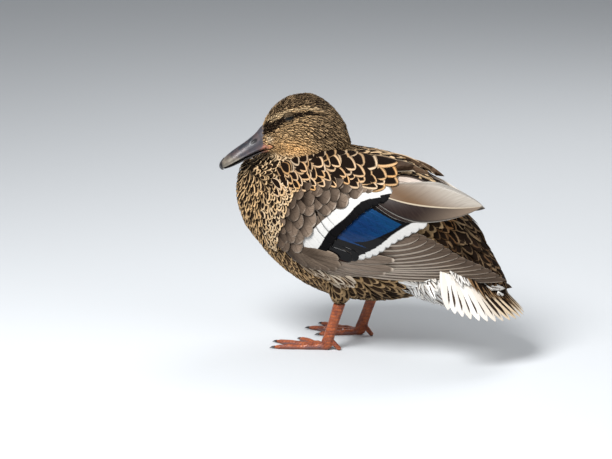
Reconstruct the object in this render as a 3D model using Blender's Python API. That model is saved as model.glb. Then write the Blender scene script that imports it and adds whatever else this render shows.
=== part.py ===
"""Hen mallard at rest, life size, as a still museum model.

The duck faces -Y and stands on two webbed feet, its neck drawn in and its head turned a little to
its left (+X).  The forms are lofts through named stations, cut apart where a person would name a
part of the bird.  All design numbers are millimetres; the meshes are made in metres.
The origin is on the floor, under the middle of the whole bird.
"""

import math

import bmesh
import bpy
import numpy as np
from mathutils import Matrix, Vector

MM = 0.001
GAP = 0.3  # clearance between neighbouring pieces
# Trunk: y, back height, height of the widest line, belly height, half width.
TRUNK = [
    (-114.0, 157.0, 157.0, 157.0, 0.0),
    (-111.5, 172.0, 155.0, 141.0, 13.5),
    (-105.0, 182.0, 151.0, 121.0, 25.0),
    (-90.0, 190.0, 145.0, 101.0, 36.0),
    (-70.0, 195.5, 138.0, 82.0, 45.5),
    (-42.0, 198.5, 130.0, 63.5, 53.0),
    (-5.0, 200.0, 125.0, 51.0, 58.0),
    (30.0, 200.5, 123.0, 49.0, 57.0),
    (52.0, 196.5, 121.0, 51.5, 54.0),
    (75.0, 186.5, 118.0, 57.0, 47.0),
    (100.0, 167.0, 114.0, 65.5, 38.0),
    (122.0, 150.0, 112.0, 78.0, 28.0),
    (136.0, 137.0, 110.0, 88.5, 19.0),
    (146.0, 121.0, 108.0, 97.0, 10.0),
    (149.0, 108.0, 108.0, 108.0, 0.0),
]

# Neck: height, y of its middle, half length, half width.
NECK = [
    (160.0, -44.0, 50.0, 42.0),
    (175.0, -42.0, 49.0, 38.0),
    (188.0, -39.0, 46.0, 33.5),
    (200.0, -33.5, 39.5, 29.5),
    (212.0, -29.5, 33.0, 26.0),
    (226.0, -31.0, 27.0, 21.0),
]

# Head, measured from its own middle: forward, crown, widest line, throat, half width.
HEAD_CENTRE = (4.5, -41.0, 218.6)
HEAD_TURN = math.radians(22.0)
HEAD = [
    (-44.5, -13.0, -13.0, -13.0, 0.0),
    (-42.5, -3.0, -13.0, -24.0, 11.0),
    (-37.0, 9.5, -10.0, -31.0, 18.5),
    (-28.0, 21.5, -7.0, -34.0, 23.5),
    (-17.0, 31.0, -5.0, -34.0, 26.0),
    (-5.0, 36.3, -4.0, -30.0, 26.8),
    (7.0, 35.5, -4.0, -27.5, 25.8),
    (17.0, 33.0, -4.5, -25.8, 23.4),
    (26.0, 27.6, -5.0, -24.6, 20.2),
    (33.0, 20.5, -6.0, -23.6, 17.0),
    (38.5, 12.0, -7.5, -22.4, 14.0),
    (42.0, 4.5, -9.0, -20.0, 10.8),
    (44.0, -9.0, -9.0, -9.0, 0.0),
]
EYE = {"forward": 15.2, "up": 15.2, "out": 16.9, "radius": 4.9}

# Bill, along an axis that drops from the front of the head.
BILL_BASE = (42.0, -9.0)  # forward and up, from the head's middle
BILL_DROP = math.radians(31.0)
# Upper bill: along, ridge, cutting edge, half width.
UPPER_BILL = [
    (-9.0, 12.0, -13.2, 10.6),
    (-2.0, 10.0, -11.8, 10.5),
    (4.0, 7.8, -10.4, 9.9),
    (10.0, 6.6, -9.2, 9.6),
    (18.0, 5.5, -8.0, 9.9),
    (27.0, 4.8, -7.1, 10.8),
    (36.0, 3.8, -6.4, 11.7),
    (43.0, 2.4, -5.9, 11.2),
    (48.0, 0.8, -5.4, 8.6),
    (51.0, -0.8, -5.0, 5.4),
    (52.5, -3.0, -3.0, 0.0),
]
# Lower bill: along, its top, its underside, half width.
LOWER_BILL = [
    (-8.0, -13.6, -18.0, 8.0),
    (-1.0, -12.3, -15.6, 8.4),
    (8.0, -10.0, -12.9, 8.0),
    (18.0, -8.5, -11.2, 8.2),
    (28.0, -7.5, -10.0, 9.0),
    (38.0, -6.7, -8.9, 9.6),
    (45.0, -6.1, -7.9, 8.2),
    (49.0, -5.8, -7.0, 4.6),
    (50.5, -6.3, -6.3, 0.0),
]

# Folded wing: the smooth sheet that its feathers lie on.
# y, outermost x, its height, roundness below it, height where the sheet would meet the back.
WING_SHEET = [
    (-62.0, 50.0, 134.0, 58.0, 196.0),
    (-40.0, 59.0, 130.0, 66.0, 200.0),
    (0.0, 65.0, 127.0, 74.0, 203.0),
    (40.0, 64.5, 124.0, 76.0, 201.0),
    (80.0, 57.0, 121.0, 68.0, 189.0),
    (110.0, 45.5, 118.0, 62.0, 176.0),
    (140.0, 31.0, 112.0, 68.0, 165.0),
    (165.0, 20.5, 104.0, 90.0, 152.0),
    (190.0, 14.0, 96.0, 120.0, 138.0),
]
SHEET_FULLNESS = 2.1
SHOULDER = (-40.0, 130.0)  # y and height about which a wing hangs
WING_SAG = {"left": 0.0, "right": math.radians(4.0)}

# Tail fan: feathers spread about a drooping middle line.
TAIL_ROOT = (0.0, 116.0, 111.0)
TAIL_DROOP = math.radians(42.0)
TAIL_SPREAD = math.radians(54.0)
TAIL_LENGTH = 97.0
TAIL_SIDE_LENGTH = 76.0
TAIL_FEATHERS = 18
TAIL_HALF = 0.6  # half the plate's thickness
TAIL_STEP = 0.55  # how much each feather's middle stands above its edges

# Legs: hock and ankle of each, floor height of the foot's top, and toes as angle and length.
LEFT_HOCK, LEFT_ANKLE = (30.0, 9.0, 56.0), (31.0, -6.0, 7.5)
RIGHT_HOCK, RIGHT_ANKLE = (-33.0, 23.0, 56.0), (-34.0, 5.5, 7.5)
THIGH_END = 49.0
FOOT_TOP = 15.0
SHANK_NARROWING = 0.8
HIND_TOE_HEIGHT = 12.5
HIND_TOE_REACH = 13.0
TOES = {"inner": (-29.0, 43.0), "middle": (-3.0, 56.0), "outer": (19.0, 53.0)}
CLAW_LENGTH = 7.0
WEB_THICKNESS = 1.4


# ---------------------------------------------------------------- helpers


def clear_scene():
    for obj in list(bpy.data.objects):
        bpy.data.objects.remove(obj)
    for mesh in list(bpy.data.meshes):
        bpy.data.meshes.remove(mesh)


def new_collection(name):
    collection = bpy.data.collections.new(name)
    bpy.context.scene.collection.children.link(collection)
    return collection


def finish(name, colour, roughness):
    """A plain finish: colour and roughness on a Principled BSDF."""
    material = bpy.data.materials.new(name)
    material.use_nodes = True
    shader = material.node_tree.nodes["Principled BSDF"]
    shader.inputs["Base Color"].default_value = (*colour, 1.0)
    shader.inputs["Roughness"].default_value = roughness
    shader.inputs["Metallic"].default_value = 0.0
    return material


def mesh_object(name, points, faces, collection):
    """A closed mesh in metres from points in millimetres, its faces turned outwards."""
    shape = bmesh.new()
    corners = [shape.verts.new(Vector(point) * MM) for point in points]
    for face in faces:
        shape.faces.new([corners[i] for i in face])
    bmesh.ops.recalc_face_normals(shape, faces=shape.faces[:])
    if shape.calc_volume(signed=True) < 0:
        bmesh.ops.reverse_faces(shape, faces=shape.faces[:])
    mesh = bpy.data.meshes.new(name)
    shape.to_mesh(mesh)
    shape.free()
    obj = bpy.data.objects.new(name, mesh)
    collection.objects.link(obj)
    return obj


def interpolate(rows, at):
    """Smooth curve through rows keyed by their first column, without overshoot."""
    table = np.array(rows, float)
    key, values = table[:, 0], table[:, 1:]
    step = np.diff(key)[:, None]
    slope = np.diff(values, axis=0) / step
    tangent = np.zeros_like(values)
    same_way = slope[:-1] * slope[1:] > 0
    weight = step[:-1] + step[1:]
    mean = (step[1:] * slope[:-1] + step[:-1] * slope[1:]) / weight
    tangent[1:-1] = np.where(same_way, mean, 0.0)
    tangent[0], tangent[-1] = slope[0], slope[-1]
    at = np.atleast_1d(np.asarray(at, float))
    i = np.clip(np.searchsorted(key, at, side="right") - 1, 0, len(key) - 2)
    t = ((at - key[i]) / step[i, 0])[:, None]
    span = step[i]
    return (
        values[i] * (1 + 2 * t) * (1 - t) ** 2
        + span * tangent[i] * t * (1 - t) ** 2
        + values[i + 1] * t**2 * (3 - 2 * t)
        + span * tangent[i + 1] * t**2 * (t - 1)
    )


def egg_ring(top, widest, bottom, half_width, count, fullness=2.15):
    """(across, up) points of an egg-shaped section, wider or narrower above its widest line."""
    ring = []
    for k in range(count):
        angle = 2 * math.pi * k / count
        c, s = math.cos(angle), math.sin(angle)
        across = half_width * math.copysign(abs(c) ** (2 / fullness), c)
        reach = top - widest if s > 0 else widest - bottom
        ring.append((across, widest + reach * math.copysign(abs(s) ** (2 / fullness), s)))
    return ring


def loft(name, rings, collection, tips=(None, None)):
    """A closed solid through rings of equal count.  A tip closes an end to a point, None to a cap."""
    points = [p for ring in rings for p in ring]
    count = len(rings[0])
    faces = []
    for row in range(len(rings) - 1):
        for k in range(count):
            after = (k + 1) % count
            a, b = row * count + k, row * count + after
            faces += [(a, b, b + count), (a, b + count, a + count)]
    for tip, base in ((tips[0], 0), (tips[1], (len(rings) - 1) * count)):
        if tip is None:
            for k in range(count // 2 - 1):
                a, b = base + k, base + count - 1 - k
                faces += [(a, a + 1, b), (a + 1, b - 1, b)]
            continue
        points.append(tip)
        for k in range(count):
            faces.append((base + k, base + (k + 1) % count, len(points) - 1))
    return mesh_object(name, points, faces, collection)


def between(a, b, share):
    return tuple(p + (q - p) * share for p, q in zip(a, b))


def evaluated_mesh(obj):
    """A plain copy of an object's mesh with its modifiers applied."""
    bpy.context.view_layer.update()
    graph = bpy.context.evaluated_depsgraph_get()
    return bpy.data.meshes.new_from_object(obj.evaluated_get(graph))


def boolean(obj, other, operation):
    modifier = obj.modifiers.new(f"{operation.lower()} {other.name}", "BOOLEAN")
    modifier.operation = operation
    modifier.solver = "EXACT"
    modifier.object = other
    other.hide_render = True
    other.display_type = "WIRE"
    return obj


def apply_modifiers(obj):
    mesh = evaluated_mesh(obj)
    obj.modifiers.clear()
    obj.data = mesh
    return obj


def move_to(obj, collection):
    for home in list(obj.users_collection):
        home.objects.unlink(obj)
    collection.objects.link(obj)
    return obj


def box(name, low, high, collection):
    """A box between two corners in millimetres."""
    low, high = Vector(low), Vector(high)
    bpy.ops.mesh.primitive_cube_add(size=1.0)
    obj = bpy.context.object
    obj.name = name
    size = (high - low) * MM
    obj.data.transform(Matrix.Translation((low + high) / 2 * MM) @ Matrix.Diagonal((*size, 1.0)))
    return move_to(obj, collection)


def half_space(name, point, normal, collection, reach=600.0):
    """A large box whose one face passes through point, on the side its normal points away from."""
    normal = Vector(normal).normalized()
    turn = normal.to_track_quat("Z", "Y").to_matrix()
    bpy.ops.mesh.primitive_cube_add(size=reach * MM)
    obj = bpy.context.object
    obj.name = name
    middle = (Vector(point) - normal * reach / 2) * MM
    obj.data.transform(Matrix.Translation(middle) @ turn.to_4x4())
    return move_to(obj, collection)


def ball(name, centre, radii, collection, turn=None, segments=10):
    bpy.ops.mesh.primitive_uv_sphere_add(segments=segments, ring_count=segments // 2, radius=1.0)
    obj = bpy.context.object
    obj.name = name
    rotation = turn.to_4x4() if turn else Matrix.Identity(4)
    scale = Matrix.Diagonal((*[r * MM for r in radii], 1.0))
    obj.data.transform(Matrix.Translation(Vector(centre) * MM) @ rotation @ scale)
    return move_to(obj, collection)


def tapered_tube(name, points, radii, collection, sides=1):
    """A round tube whose radius changes along its way, made a mesh and closed."""
    data = bpy.data.curves.new(name, "CURVE")
    data.dimensions = "3D"
    data.bevel_depth = MM
    data.bevel_resolution = sides
    data.use_fill_caps = True
    spline = data.splines.new("POLY")
    spline.points.add(len(points) - 1)
    for knot, point, radius in zip(spline.points, points, radii):
        knot.co = (*[c * MM for c in point], 1.0)
        knot.radius = radius
    curve = bpy.data.objects.new(name + "_line", data)
    collection.objects.link(curve)
    mesh = evaluated_mesh(curve)
    bpy.data.objects.remove(curve)
    shape = bmesh.new()
    shape.from_mesh(mesh)
    bmesh.ops.remove_doubles(shape, verts=shape.verts[:], dist=0.01 * MM)
    bmesh.ops.recalc_face_normals(shape, faces=shape.faces[:])
    shape.to_mesh(mesh)
    shape.free()
    obj = bpy.data.objects.new(name, mesh)
    collection.objects.link(obj)
    return obj


def part(obj, name, material, collection, sharp=math.radians(40.0)):
    """Makes obj a finished, visible part of the duck."""
    obj = apply_modifiers(obj)
    obj.name = name
    obj.data.name = name
    obj.data.materials.clear()
    obj.data.materials.append(material)
    obj.data.shade_smooth()
    obj.data.set_sharp_from_angle(angle=sharp)
    obj.hide_render = False
    obj.display_type = "TEXTURED"
    return move_to(obj, collection)


def copy_of(obj, name, collection):
    copy = bpy.data.objects.new(name, obj.data.copy())
    collection.objects.link(copy)
    return copy


def keep_largest(obj):
    """Drops the crumbs that a cut leaves beside the main piece."""
    shape = bmesh.new()
    shape.from_mesh(obj.data)
    left, groups = set(shape.faces), []
    while left:
        todo, group = [left.pop()], []
        while todo:
            face = todo.pop()
            group.append(face)
            for edge in face.edges:
                for other in edge.link_faces:
                    if other in left:
                        left.discard(other)
                        todo.append(other)
        groups.append(group)
    groups.sort(key=lambda group: sum(face.calc_area() for face in group))
    crumbs = [face for group in groups[:-1] for face in group]
    bmesh.ops.delete(shape, geom=crumbs, context="FACES")
    loose = [vert for vert in shape.verts if not vert.link_faces]
    bmesh.ops.delete(shape, geom=loose, context="VERTS")
    shape.to_mesh(obj.data)
    shape.free()
    return obj


# ---------------------------------------------------------------- trunk, neck and head


def trunk_loft(name, collection, grow=0.0, around=24):
    keys = [row[0] for row in TRUNK]
    steps = [-112.8, -108.5, -100.0]
    steps += [-90.0 + 18.0 * k for k in range(12)] + [118.0, 129.0, 138.0, 144.0, 147.5]
    rings = []
    for y, (top, widest, bottom, half) in zip(steps, interpolate(TRUNK, steps)):
        ring = egg_ring(top + grow, widest, bottom - grow, half + grow, around)
        rings.append([(x, y, z) for x, z in ring])
    front = (0.0, keys[0] - grow, TRUNK[0][1])
    rear = (0.0, keys[-1] + grow, TRUNK[-1][1])
    return loft(name, rings, collection, (front, rear))


def neck_loft(name, collection, grow=0.0, around=16):
    rings = []
    for z, middle, half_length, half_width in NECK:
        ring = []
        for k in range(around):
            angle = 2 * math.pi * k / around
            x = (half_width + grow) * math.cos(angle)
            ring.append((x, middle + (half_length + grow) * math.sin(angle), z))
        rings.append(ring)
    return loft(name, rings, collection)


def head_point(forward, across, up):
    """A place in the head's own frame, across to its left, carried into the duck's frame."""
    s, c = math.sin(HEAD_TURN), math.cos(HEAD_TURN)
    x, y, z = HEAD_CENTRE
    return (x + forward * s + across * c, y - forward * c + across * s, z + up)


def head_turn_matrix():
    return Matrix.Rotation(HEAD_TURN, 3, "Z")


def head_loft(name, collection, grow=0.0, around=20):
    steps = [-43.5, -40.5, -35.0, -27.0, -17.0, -6.0, 5.0, 14.0]
    steps += [22.0, 29.0, 34.5, 39.0, 42.4]
    rings = []
    for forward, (top, widest, bottom, half) in zip(steps, interpolate(HEAD, steps)):
        ring = egg_ring(top + grow, widest, bottom - grow, half + grow, around)
        rings.append([head_point(forward, across, up) for across, up in ring])
    back = head_point(HEAD[0][0] - grow, 0.0, HEAD[0][1])
    front = head_point(HEAD[-1][0] + grow, 0.0, HEAD[-1][1])
    return loft(name, rings, collection, (back, front))


def joined(name, pieces, collection):
    whole = copy_of(pieces[0], name, collection)
    for piece in pieces[1:]:
        boolean(whole, piece, "UNION")
    return apply_modifiers(whole)


def whole_body(name, collection, grow=0.0):
    trunk = trunk_loft(f"{name}_trunk", collection, grow)
    neck = neck_loft(f"{name}_neck", collection, grow)
    head = head_loft(f"{name}_head", collection, grow)
    return joined(name, [trunk, neck, head], collection)


# The two cuts that part the neck climb towards the nape.
NECK_SLOPE = 0.18
HEAD_CUT = (0.0, 1.0, 211.5)
SHOULDER_CUT = (0.0, 1.0, 198.5)
BREAST_END = -46.0
MIDRIFF = 20.0
RUMP_START = 102.0
SIDE_LINE = 112.0  # back above, belly below
RUMP_LINE = 106.0  # rump above, vent below


def body_parts(body, plumage, tools, duck):
    """Cuts the whole body into the parts a person would name, a thin gap apart."""
    slope = Vector((0.0, -NECK_SLOPE, 1.0)).normalized()

    def raised(point, by):
        return Vector(point) + slope * by

    above_head_cut = half_space("above_head_cut", raised(HEAD_CUT, GAP / 2), -slope, tools)
    below_head_cut = half_space("below_head_cut", raised(HEAD_CUT, -GAP / 2), slope, tools)
    above_shoulder = half_space("above_shoulder", raised(SHOULDER_CUT, GAP / 2), -slope, tools)
    below_shoulder = half_space("below_shoulder", raised(SHOULDER_CUT, -GAP / 2), slope, tools)

    def region(name, y_range, z_range):
        low = (-90.0, y_range[0] + GAP / 2, z_range[0] + GAP / 2)
        high = (90.0, y_range[1] - GAP / 2, z_range[1] - GAP / 2)
        return box(f"{name}_region", low, high, tools)

    fore, hind, rear = (BREAST_END, MIDRIFF), (MIDRIFF, RUMP_START), (RUMP_START, 200.0)
    cuts = {
        "head": [above_head_cut],
        "neck": [below_head_cut, above_shoulder],
        "breast": [region("breast", (-200.0, BREAST_END), (0.0, 260.0)), below_shoulder],
        "mantle": [region("mantle", fore, (SIDE_LINE, 260.0)), below_shoulder],
        "back": [region("back", hind, (SIDE_LINE, 260.0))],
        "belly": [region("belly", fore, (0.0, SIDE_LINE))],
        "hind_belly": [region("hind_belly", hind, (0.0, SIDE_LINE))],
        "rump": [region("rump", rear, (RUMP_LINE, 260.0))],
        "vent": [region("vent", rear, (0.0, RUMP_LINE))],
    }
    made = {}
    for name, blocks in cuts.items():
        piece = copy_of(body, name, tools)
        for block in blocks:
            boolean(piece, block, "INTERSECT")
        made[name] = keep_largest(part(piece, name, plumage[name], duck))
    return made


# ---------------------------------------------------------------- eyes and bill


def eyes(head, dark, tools, duck):
    """A ball in a socket on each side of the head."""
    for side, name in ((1.0, "eye_left"), (-1.0, "eye_right")):
        centre = head_point(EYE["forward"], side * EYE["out"], EYE["up"])
        socket = ball(f"{name}_socket", centre, [EYE["radius"] + GAP] * 3, tools, segments=10)
        boolean(head, socket, "DIFFERENCE")
        eye = ball(name, centre, [EYE["radius"]] * 3, tools, segments=10)
        part(eye, name, dark, duck)
    apply_modifiers(head)


def bill_point(along, across, up):
    """A place in the bill's own frame, carried into the duck's frame."""
    s, c = math.sin(BILL_DROP), math.cos(BILL_DROP)
    forward = BILL_BASE[0] + along * c + up * s
    return head_point(forward, across, BILL_BASE[1] - along * s + up * c)


def bill_loft(name, rows, collection, crown, sole, around=14):
    """A bill half: an arched section, its two halves with their own fullness."""
    rings = []
    for along, top, bottom, half in rows[:-1]:
        ring = []
        # The widest line lies low on the upper bill and high on the lower one.
        edge = bottom + (top - bottom) * (0.22 if crown > sole else 0.78)
        for k in range(around):
            angle = 2 * math.pi * k / around
            c, s = math.cos(angle), math.sin(angle)
            power = 2 / (crown if s > 0 else sole)
            reach = top - edge if s > 0 else edge - bottom
            up = edge + reach * math.copysign(abs(s) ** power, s)
            across = half * math.copysign(abs(c) ** power, c)
            ring.append(bill_point(along, across, up))
        rings.append(ring)
    along, top, bottom, _ = rows[-1]
    tip = bill_point(along, 0.0, (top + bottom) / 2)
    return loft(name, rings, collection, (None, tip))


def bill(head_clearance, horn, dark_horn, tools, duck):
    upper = bill_loft("bill_upper", UPPER_BILL, tools, crown=2.1, sole=2.0)
    lower = bill_loft("bill_lower", LOWER_BILL, tools, crown=2.0, sole=2.4)
    tilt = head_turn_matrix() @ Matrix.Rotation(BILL_DROP, 3, "X")
    nail_place = bill_point(49.5, 0.0, -0.5)
    nail_cut = ball("nail_cut", nail_place, (4.3, 6.6, 12.0), tools, tilt, segments=8)
    nail_form = ball("nail_form", nail_place, (4.0, 6.3, 11.7), tools, tilt, segments=8)
    nail = boolean(copy_of(upper, "nail_blank", tools), nail_form, "INTERSECT")
    for piece in (upper, lower):
        boolean(piece, head_clearance, "DIFFERENCE")
    boolean(upper, nail_cut, "DIFFERENCE")
    for side in (1.0, -1.0):
        nostril = ball(
            f"nostril_{'left' if side > 0 else 'right'}",
            bill_point(13.5, side * 7.6, 2.6),
            (2.2, 3.8, 1.5),
            tools,
            tilt,
            segments=6,
        )
        boolean(upper, nostril, "DIFFERENCE")
    keep_largest(part(upper, "bill_upper", horn, duck))
    keep_largest(part(lower, "bill_lower", horn, duck))
    keep_largest(part(nail, "bill_nail", dark_horn, duck))


# ---------------------------------------------------------------- wings


def sheet_x(y, z):
    """How far out the wing sheet lies at that y and height."""
    out, height, roundness, top = interpolate(WING_SHEET, y)[0]
    if z <= height:
        return out - (z - height) ** 2 / (2 * roundness)
    share = min(0.97, (z - height) / (top - height))
    return out * (1 - share**SHEET_FULLNESS) ** (1 / SHEET_FULLNESS)


def wing_place(y, z, lift, word):
    """A point over one wing's sheet at that y and height, lift millimetres outside it."""
    side = 1.0 if word == "left" else -1.0
    x = sheet_x(y, z)
    slant = Vector((1.0, 0.0, (sheet_x(y, z - 0.5) - sheet_x(y, z + 0.5)))).normalized()
    x, z = x + slant.x * lift, z + slant.z * lift
    back, up = y - SHOULDER[0], z - SHOULDER[1]
    s, c = math.sin(WING_SAG[word]), math.cos(WING_SAG[word])
    return (side * x, SHOULDER[0] + back * c + up * s, SHOULDER[1] + up * c - back * s)


def sheet_patch(name, lower, upper, lift, thickness, word, collection, grow=0.0):
    """A slab on the wing sheet between a lower and an upper edge, each a run of (y, z) points."""
    rows, columns = 4, 7

    def spread(edge):
        corners = np.array(edge, float)
        run = np.concatenate([[0.0], np.cumsum(np.linalg.norm(np.diff(corners, axis=0), axis=1))])
        at = np.linspace(0.0, run[-1], columns)
        table = np.column_stack([run, corners])
        return interpolate(table, at)

    low, high = spread(lower), spread(upper)
    for edge, way in ((low, -grow), (high, grow)):
        edge[:, 1] += 1.6 * way
        edge[0, 0] -= 2.5 * grow
        edge[-1, 0] += 2.5 * grow
    rings = []
    for a, b in zip(low, high):
        shares = [k / (rows - 1) for k in range(rows)]
        outer = [a + (b - a) * t for t in shares]
        crown = [math.sin(math.pi * (0.12 + 0.76 * t)) for t in shares]
        ring = [wing_place(*p, lift * c + grow, word) for p, c in zip(outer, crown)]
        ring += [wing_place(*p, -thickness - grow, word) for p in reversed(outer)]
        rings.append(ring)
    return loft(name, rings, collection)


def blade(name, root, tip, width, lift, collection, place, thickness, bend, grow=0.0):
    """One large feather: a thin pointed blade from root to tip, laid down by place(a, b, height).

    bend moves its middle sideways."""
    root, tip = Vector(root), Vector(tip)
    onward = (tip - root).normalized() * grow
    root, tip = root - onward, tip + onward
    way = tip - root
    width += 2 * grow
    thickness += 2 * grow
    across = Vector((-way.y, way.x)).normalized()
    shares = (0.0, 0.35, 0.72, 0.9, 0.97)
    rings = []
    for t in shares:
        swell = 0.55 + 0.45 * math.sin(min(1.0, t / 0.5) * math.pi / 2)
        fall = 1.0 if t < 0.6 else (1 - ((t - 0.6) / 0.42) ** 2) ** 0.6
        half = width / 2 * swell * fall
        middle = root + way * t + across * bend * 4 * t * (1 - t)
        top, bottom = [], []
        for share in (-1.0, 0.0, 1.0):
            spot = middle + across * half * share
            dome = 0.35 * thickness * (1 - share * share)
            top.append(place(spot.x, spot.y, lift + thickness / 2 + dome))
            bottom.append(place(spot.x, spot.y, lift - thickness / 2 + dome))
        rings.append(top + bottom[::-1])
    return loft(name, rings, collection, (None, place(tip.x, tip.y, lift)))


def flight_plate(name, collection, place, grow=0.0):
    """The closed flight feathers as one plate, stepped at the tips and ridged along each."""
    rows = [PRIMARIES_LOWER_EDGE]
    for k, feather in enumerate(PRIMARIES):
        rows.append(feather)
        if k + 1 < len(PRIMARIES):
            root = between(feather[0], PRIMARIES[k + 1][0], 0.5)
            tip = between(feather[1], PRIMARIES[k + 1][1], 0.5)
            rows.append((root, (tip[0] - 9.0, tip[1])))
    rows.append(PRIMARIES_UPPER_EDGE)
    low, high = PRIMARIES_LIFT
    rings = []
    for k, (root, tip) in enumerate(rows):
        share = k / (len(rows) - 1)
        lift = low + (high - low) * share + (0.5 if k % 2 else 0.0)
        root, tip = Vector(root), Vector(tip)
        way = (tip - root).normalized() * 2 * grow
        root, tip = root - way, tip + way
        for end in (root, tip):
            end.y += 2 * grow * (2 * share - 1)
        spots = [root.lerp(tip, t) for t in (0.0, 0.35, 0.7, 0.92, 1.0)]
        top = [place(spot.x, spot.y, lift + 1.0 + grow) for spot in spots]
        bottom = [place(spot.x, spot.y, lift - 1.0 - grow) for spot in reversed(spots)]
        rings.append(top + bottom)
    return loft(name, rings, collection)


def fan(name, blades):
    """Overlapping blades joined into one solid."""
    whole = blades[0]
    for other in blades[1:]:
        boolean(whole, other, "UNION")
    whole = apply_modifiers(whole)
    whole.name = name
    return whole


# Outlines on the wing sheet, as y and z.
SCAPULAR_LOWER = [(-50.0, 168.0), (-28.0, 177.0), (5.0, 184.0), (40.0, 176.5), (74.0, 174.0)]
SCAPULAR_UPPER = [(-46.0, 180.0), (-20.0, 190.0), (20.0, 196.5), (55.0, 193.0), (90.0, 181.0)]
COVERT_LOWER = [(-55.0, 138.0), (-51.0, 118.0), (-43.0, 104.0), (-25.0, 98.0)]
COVERT_UPPER = [(-54.0, 163.0), (-28.0, 175.0), (5.0, 181.0), (60.0, 169.5)]
BAR_LOWER = [(-12.0, 108.0), (14.0, 108.5), (46.0, 109.6), (84.0, 127.0)]
BAR_UPPER = [(-22.0, 113.0), (13.0, 143.0), (50.0, 170.0), (103.0, 148.0)]
# Long flight feathers from the lowest up: root y and z, tip y and z.
PRIMARIES = [
    ((-30.0, 99.0), (177.0, 89.5)),
    ((-12.0, 101.0), (167.0, 95.0)),
    ((8.0, 103.0), (154.0, 101.0)),
    ((28.0, 106.0), (141.0, 108.5)),
    ((45.0, 110.0), (127.0, 117.5)),
    ((58.0, 115.0), (113.0, 126.5)),
]
PRIMARIES_LOWER_EDGE = ((-34.0, 93.0), (163.0, 84.5))
PRIMARIES_UPPER_EDGE = ((66.0, 120.0), (98.0, 131.0))
PRIMARIES_LIFT = (-2.6, 1.4)  # of the lowest and the highest edge over the sheet
TERTIALS = [  # root, tip, width, lift, sideways bend
    ((62.0, 171.0), (151.0, 152.5), 25.0, 3.6, -5.0),
    ((60.0, 161.0), (124.0, 151.0), 22.0, 2.2, 4.0),
    ((52.0, 156.0), (108.0, 146.5), 19.0, 0.8, 5.0),
]


def wing(word, clearances, colours, tools, duck):
    """One folded wing: coverts and the bright bar on the sheet, long feathers as blades."""

    def place(y, z, height):
        return wing_place(y, z, height, word)

    def patch(label, lower, upper, lift, depth):
        def made(grow):
            name = f"{word}_{label}_{'clearance' if grow else 'form'}"
            return [sheet_patch(name, lower, upper, lift, depth, word, tools, grow)]

        return made

    def primaries(grow):
        name = f"{word}_flight_{'clearance' if grow else 'form'}"
        return [flight_plate(name, tools, place, grow)]

    def tertials(grow):
        blades = []
        for k, (root, tip, width, lift, bend) in enumerate(TERTIALS):
            name = f"{word}_tertial{k}_{'clearance' if grow else 'form'}"
            blades.append(blade(name, root, tip, width, lift, tools, place, 1.8, bend, grow))
        return blades

    layers = [  # from the top layer down, each cut clear of those above it
        ("scapulars", patch("scapulars", SCAPULAR_LOWER, SCAPULAR_UPPER, 2.0, 9.0), "scapular"),
        ("tertials", tertials, "tertial"),
        ("coverts", patch("coverts", COVERT_LOWER, COVERT_UPPER, 1.6, 7.0), "covert"),
        ("speculum", patch("bar", BAR_LOWER, BAR_UPPER, 0.4, 6.0), "speculum"),
        ("primaries", primaries, "primary"),
    ]
    above = []
    for name, made, colour in layers:
        piece = fan(f"{word}_{name}", made(0.0))
        for other in clearances + above:
            boolean(piece, other, "DIFFERENCE")
        keep_largest(part(piece, f"wing_{word}_{name}", colours[colour], duck))
        above += made(GAP)


# ---------------------------------------------------------------- tail


def tail_point(along, angle, height):
    """A place on the drooping fan: its sides hang lower than its middle."""
    s, c = math.sin(TAIL_DROOP), math.cos(TAIL_DROOP)
    side = math.sin(angle) * along
    forward = math.cos(angle) * along
    sag = 0.31 * along * (angle / TAIL_SPREAD) ** 2
    rise = height - sag
    x, y, z = TAIL_ROOT
    return (x + side, y + forward * c + rise * s, z - forward * s + rise * c)


def fan_length(share):
    """Length of the fan across its width, share running from one edge to the other."""
    off_middle = abs(2 * share - 1)
    return TAIL_LENGTH + (TAIL_SIDE_LENGTH - TAIL_LENGTH) * off_middle**1.6


def tail_plate(name, collection):
    """The fan as one plate: a notch between feather tips and a low ridge along each feather."""
    columns = TAIL_FEATHERS * 2
    rings = []
    for k in range(columns + 1):
        share = k / columns
        angle = TAIL_SPREAD * (2 * share - 1)
        length = fan_length(share)
        notch = k % 2 == 0
        tip = length * (0.92 if notch else 1.0)
        step = 0.0 if notch else TAIL_STEP
        ends = [0.25 * length, 0.84 * length, tip]
        top = [tail_point(r, angle, step + TAIL_HALF) for r in ends]
        bottom = [tail_point(r, angle, step - TAIL_HALF) for r in reversed(ends)]
        rings.append(top + bottom)
    return loft(name, rings, collection)


def tail_room(name, collection):
    """A smooth fan that holds the whole plate and the gap round it."""
    rings = []
    for k in range(13):
        share = k / 12
        angle = (TAIL_SPREAD + 0.03) * (2 * share - 1)
        ends = (0.2 * TAIL_LENGTH, 0.6 * TAIL_LENGTH, fan_length(share) + 1.0)
        top = [tail_point(r, angle, TAIL_STEP + TAIL_HALF + GAP) for r in ends]
        bottom = [tail_point(r, angle, -TAIL_HALF - GAP) for r in reversed(ends)]
        rings.append(top + bottom)
    return loft(name, rings, collection)


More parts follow.
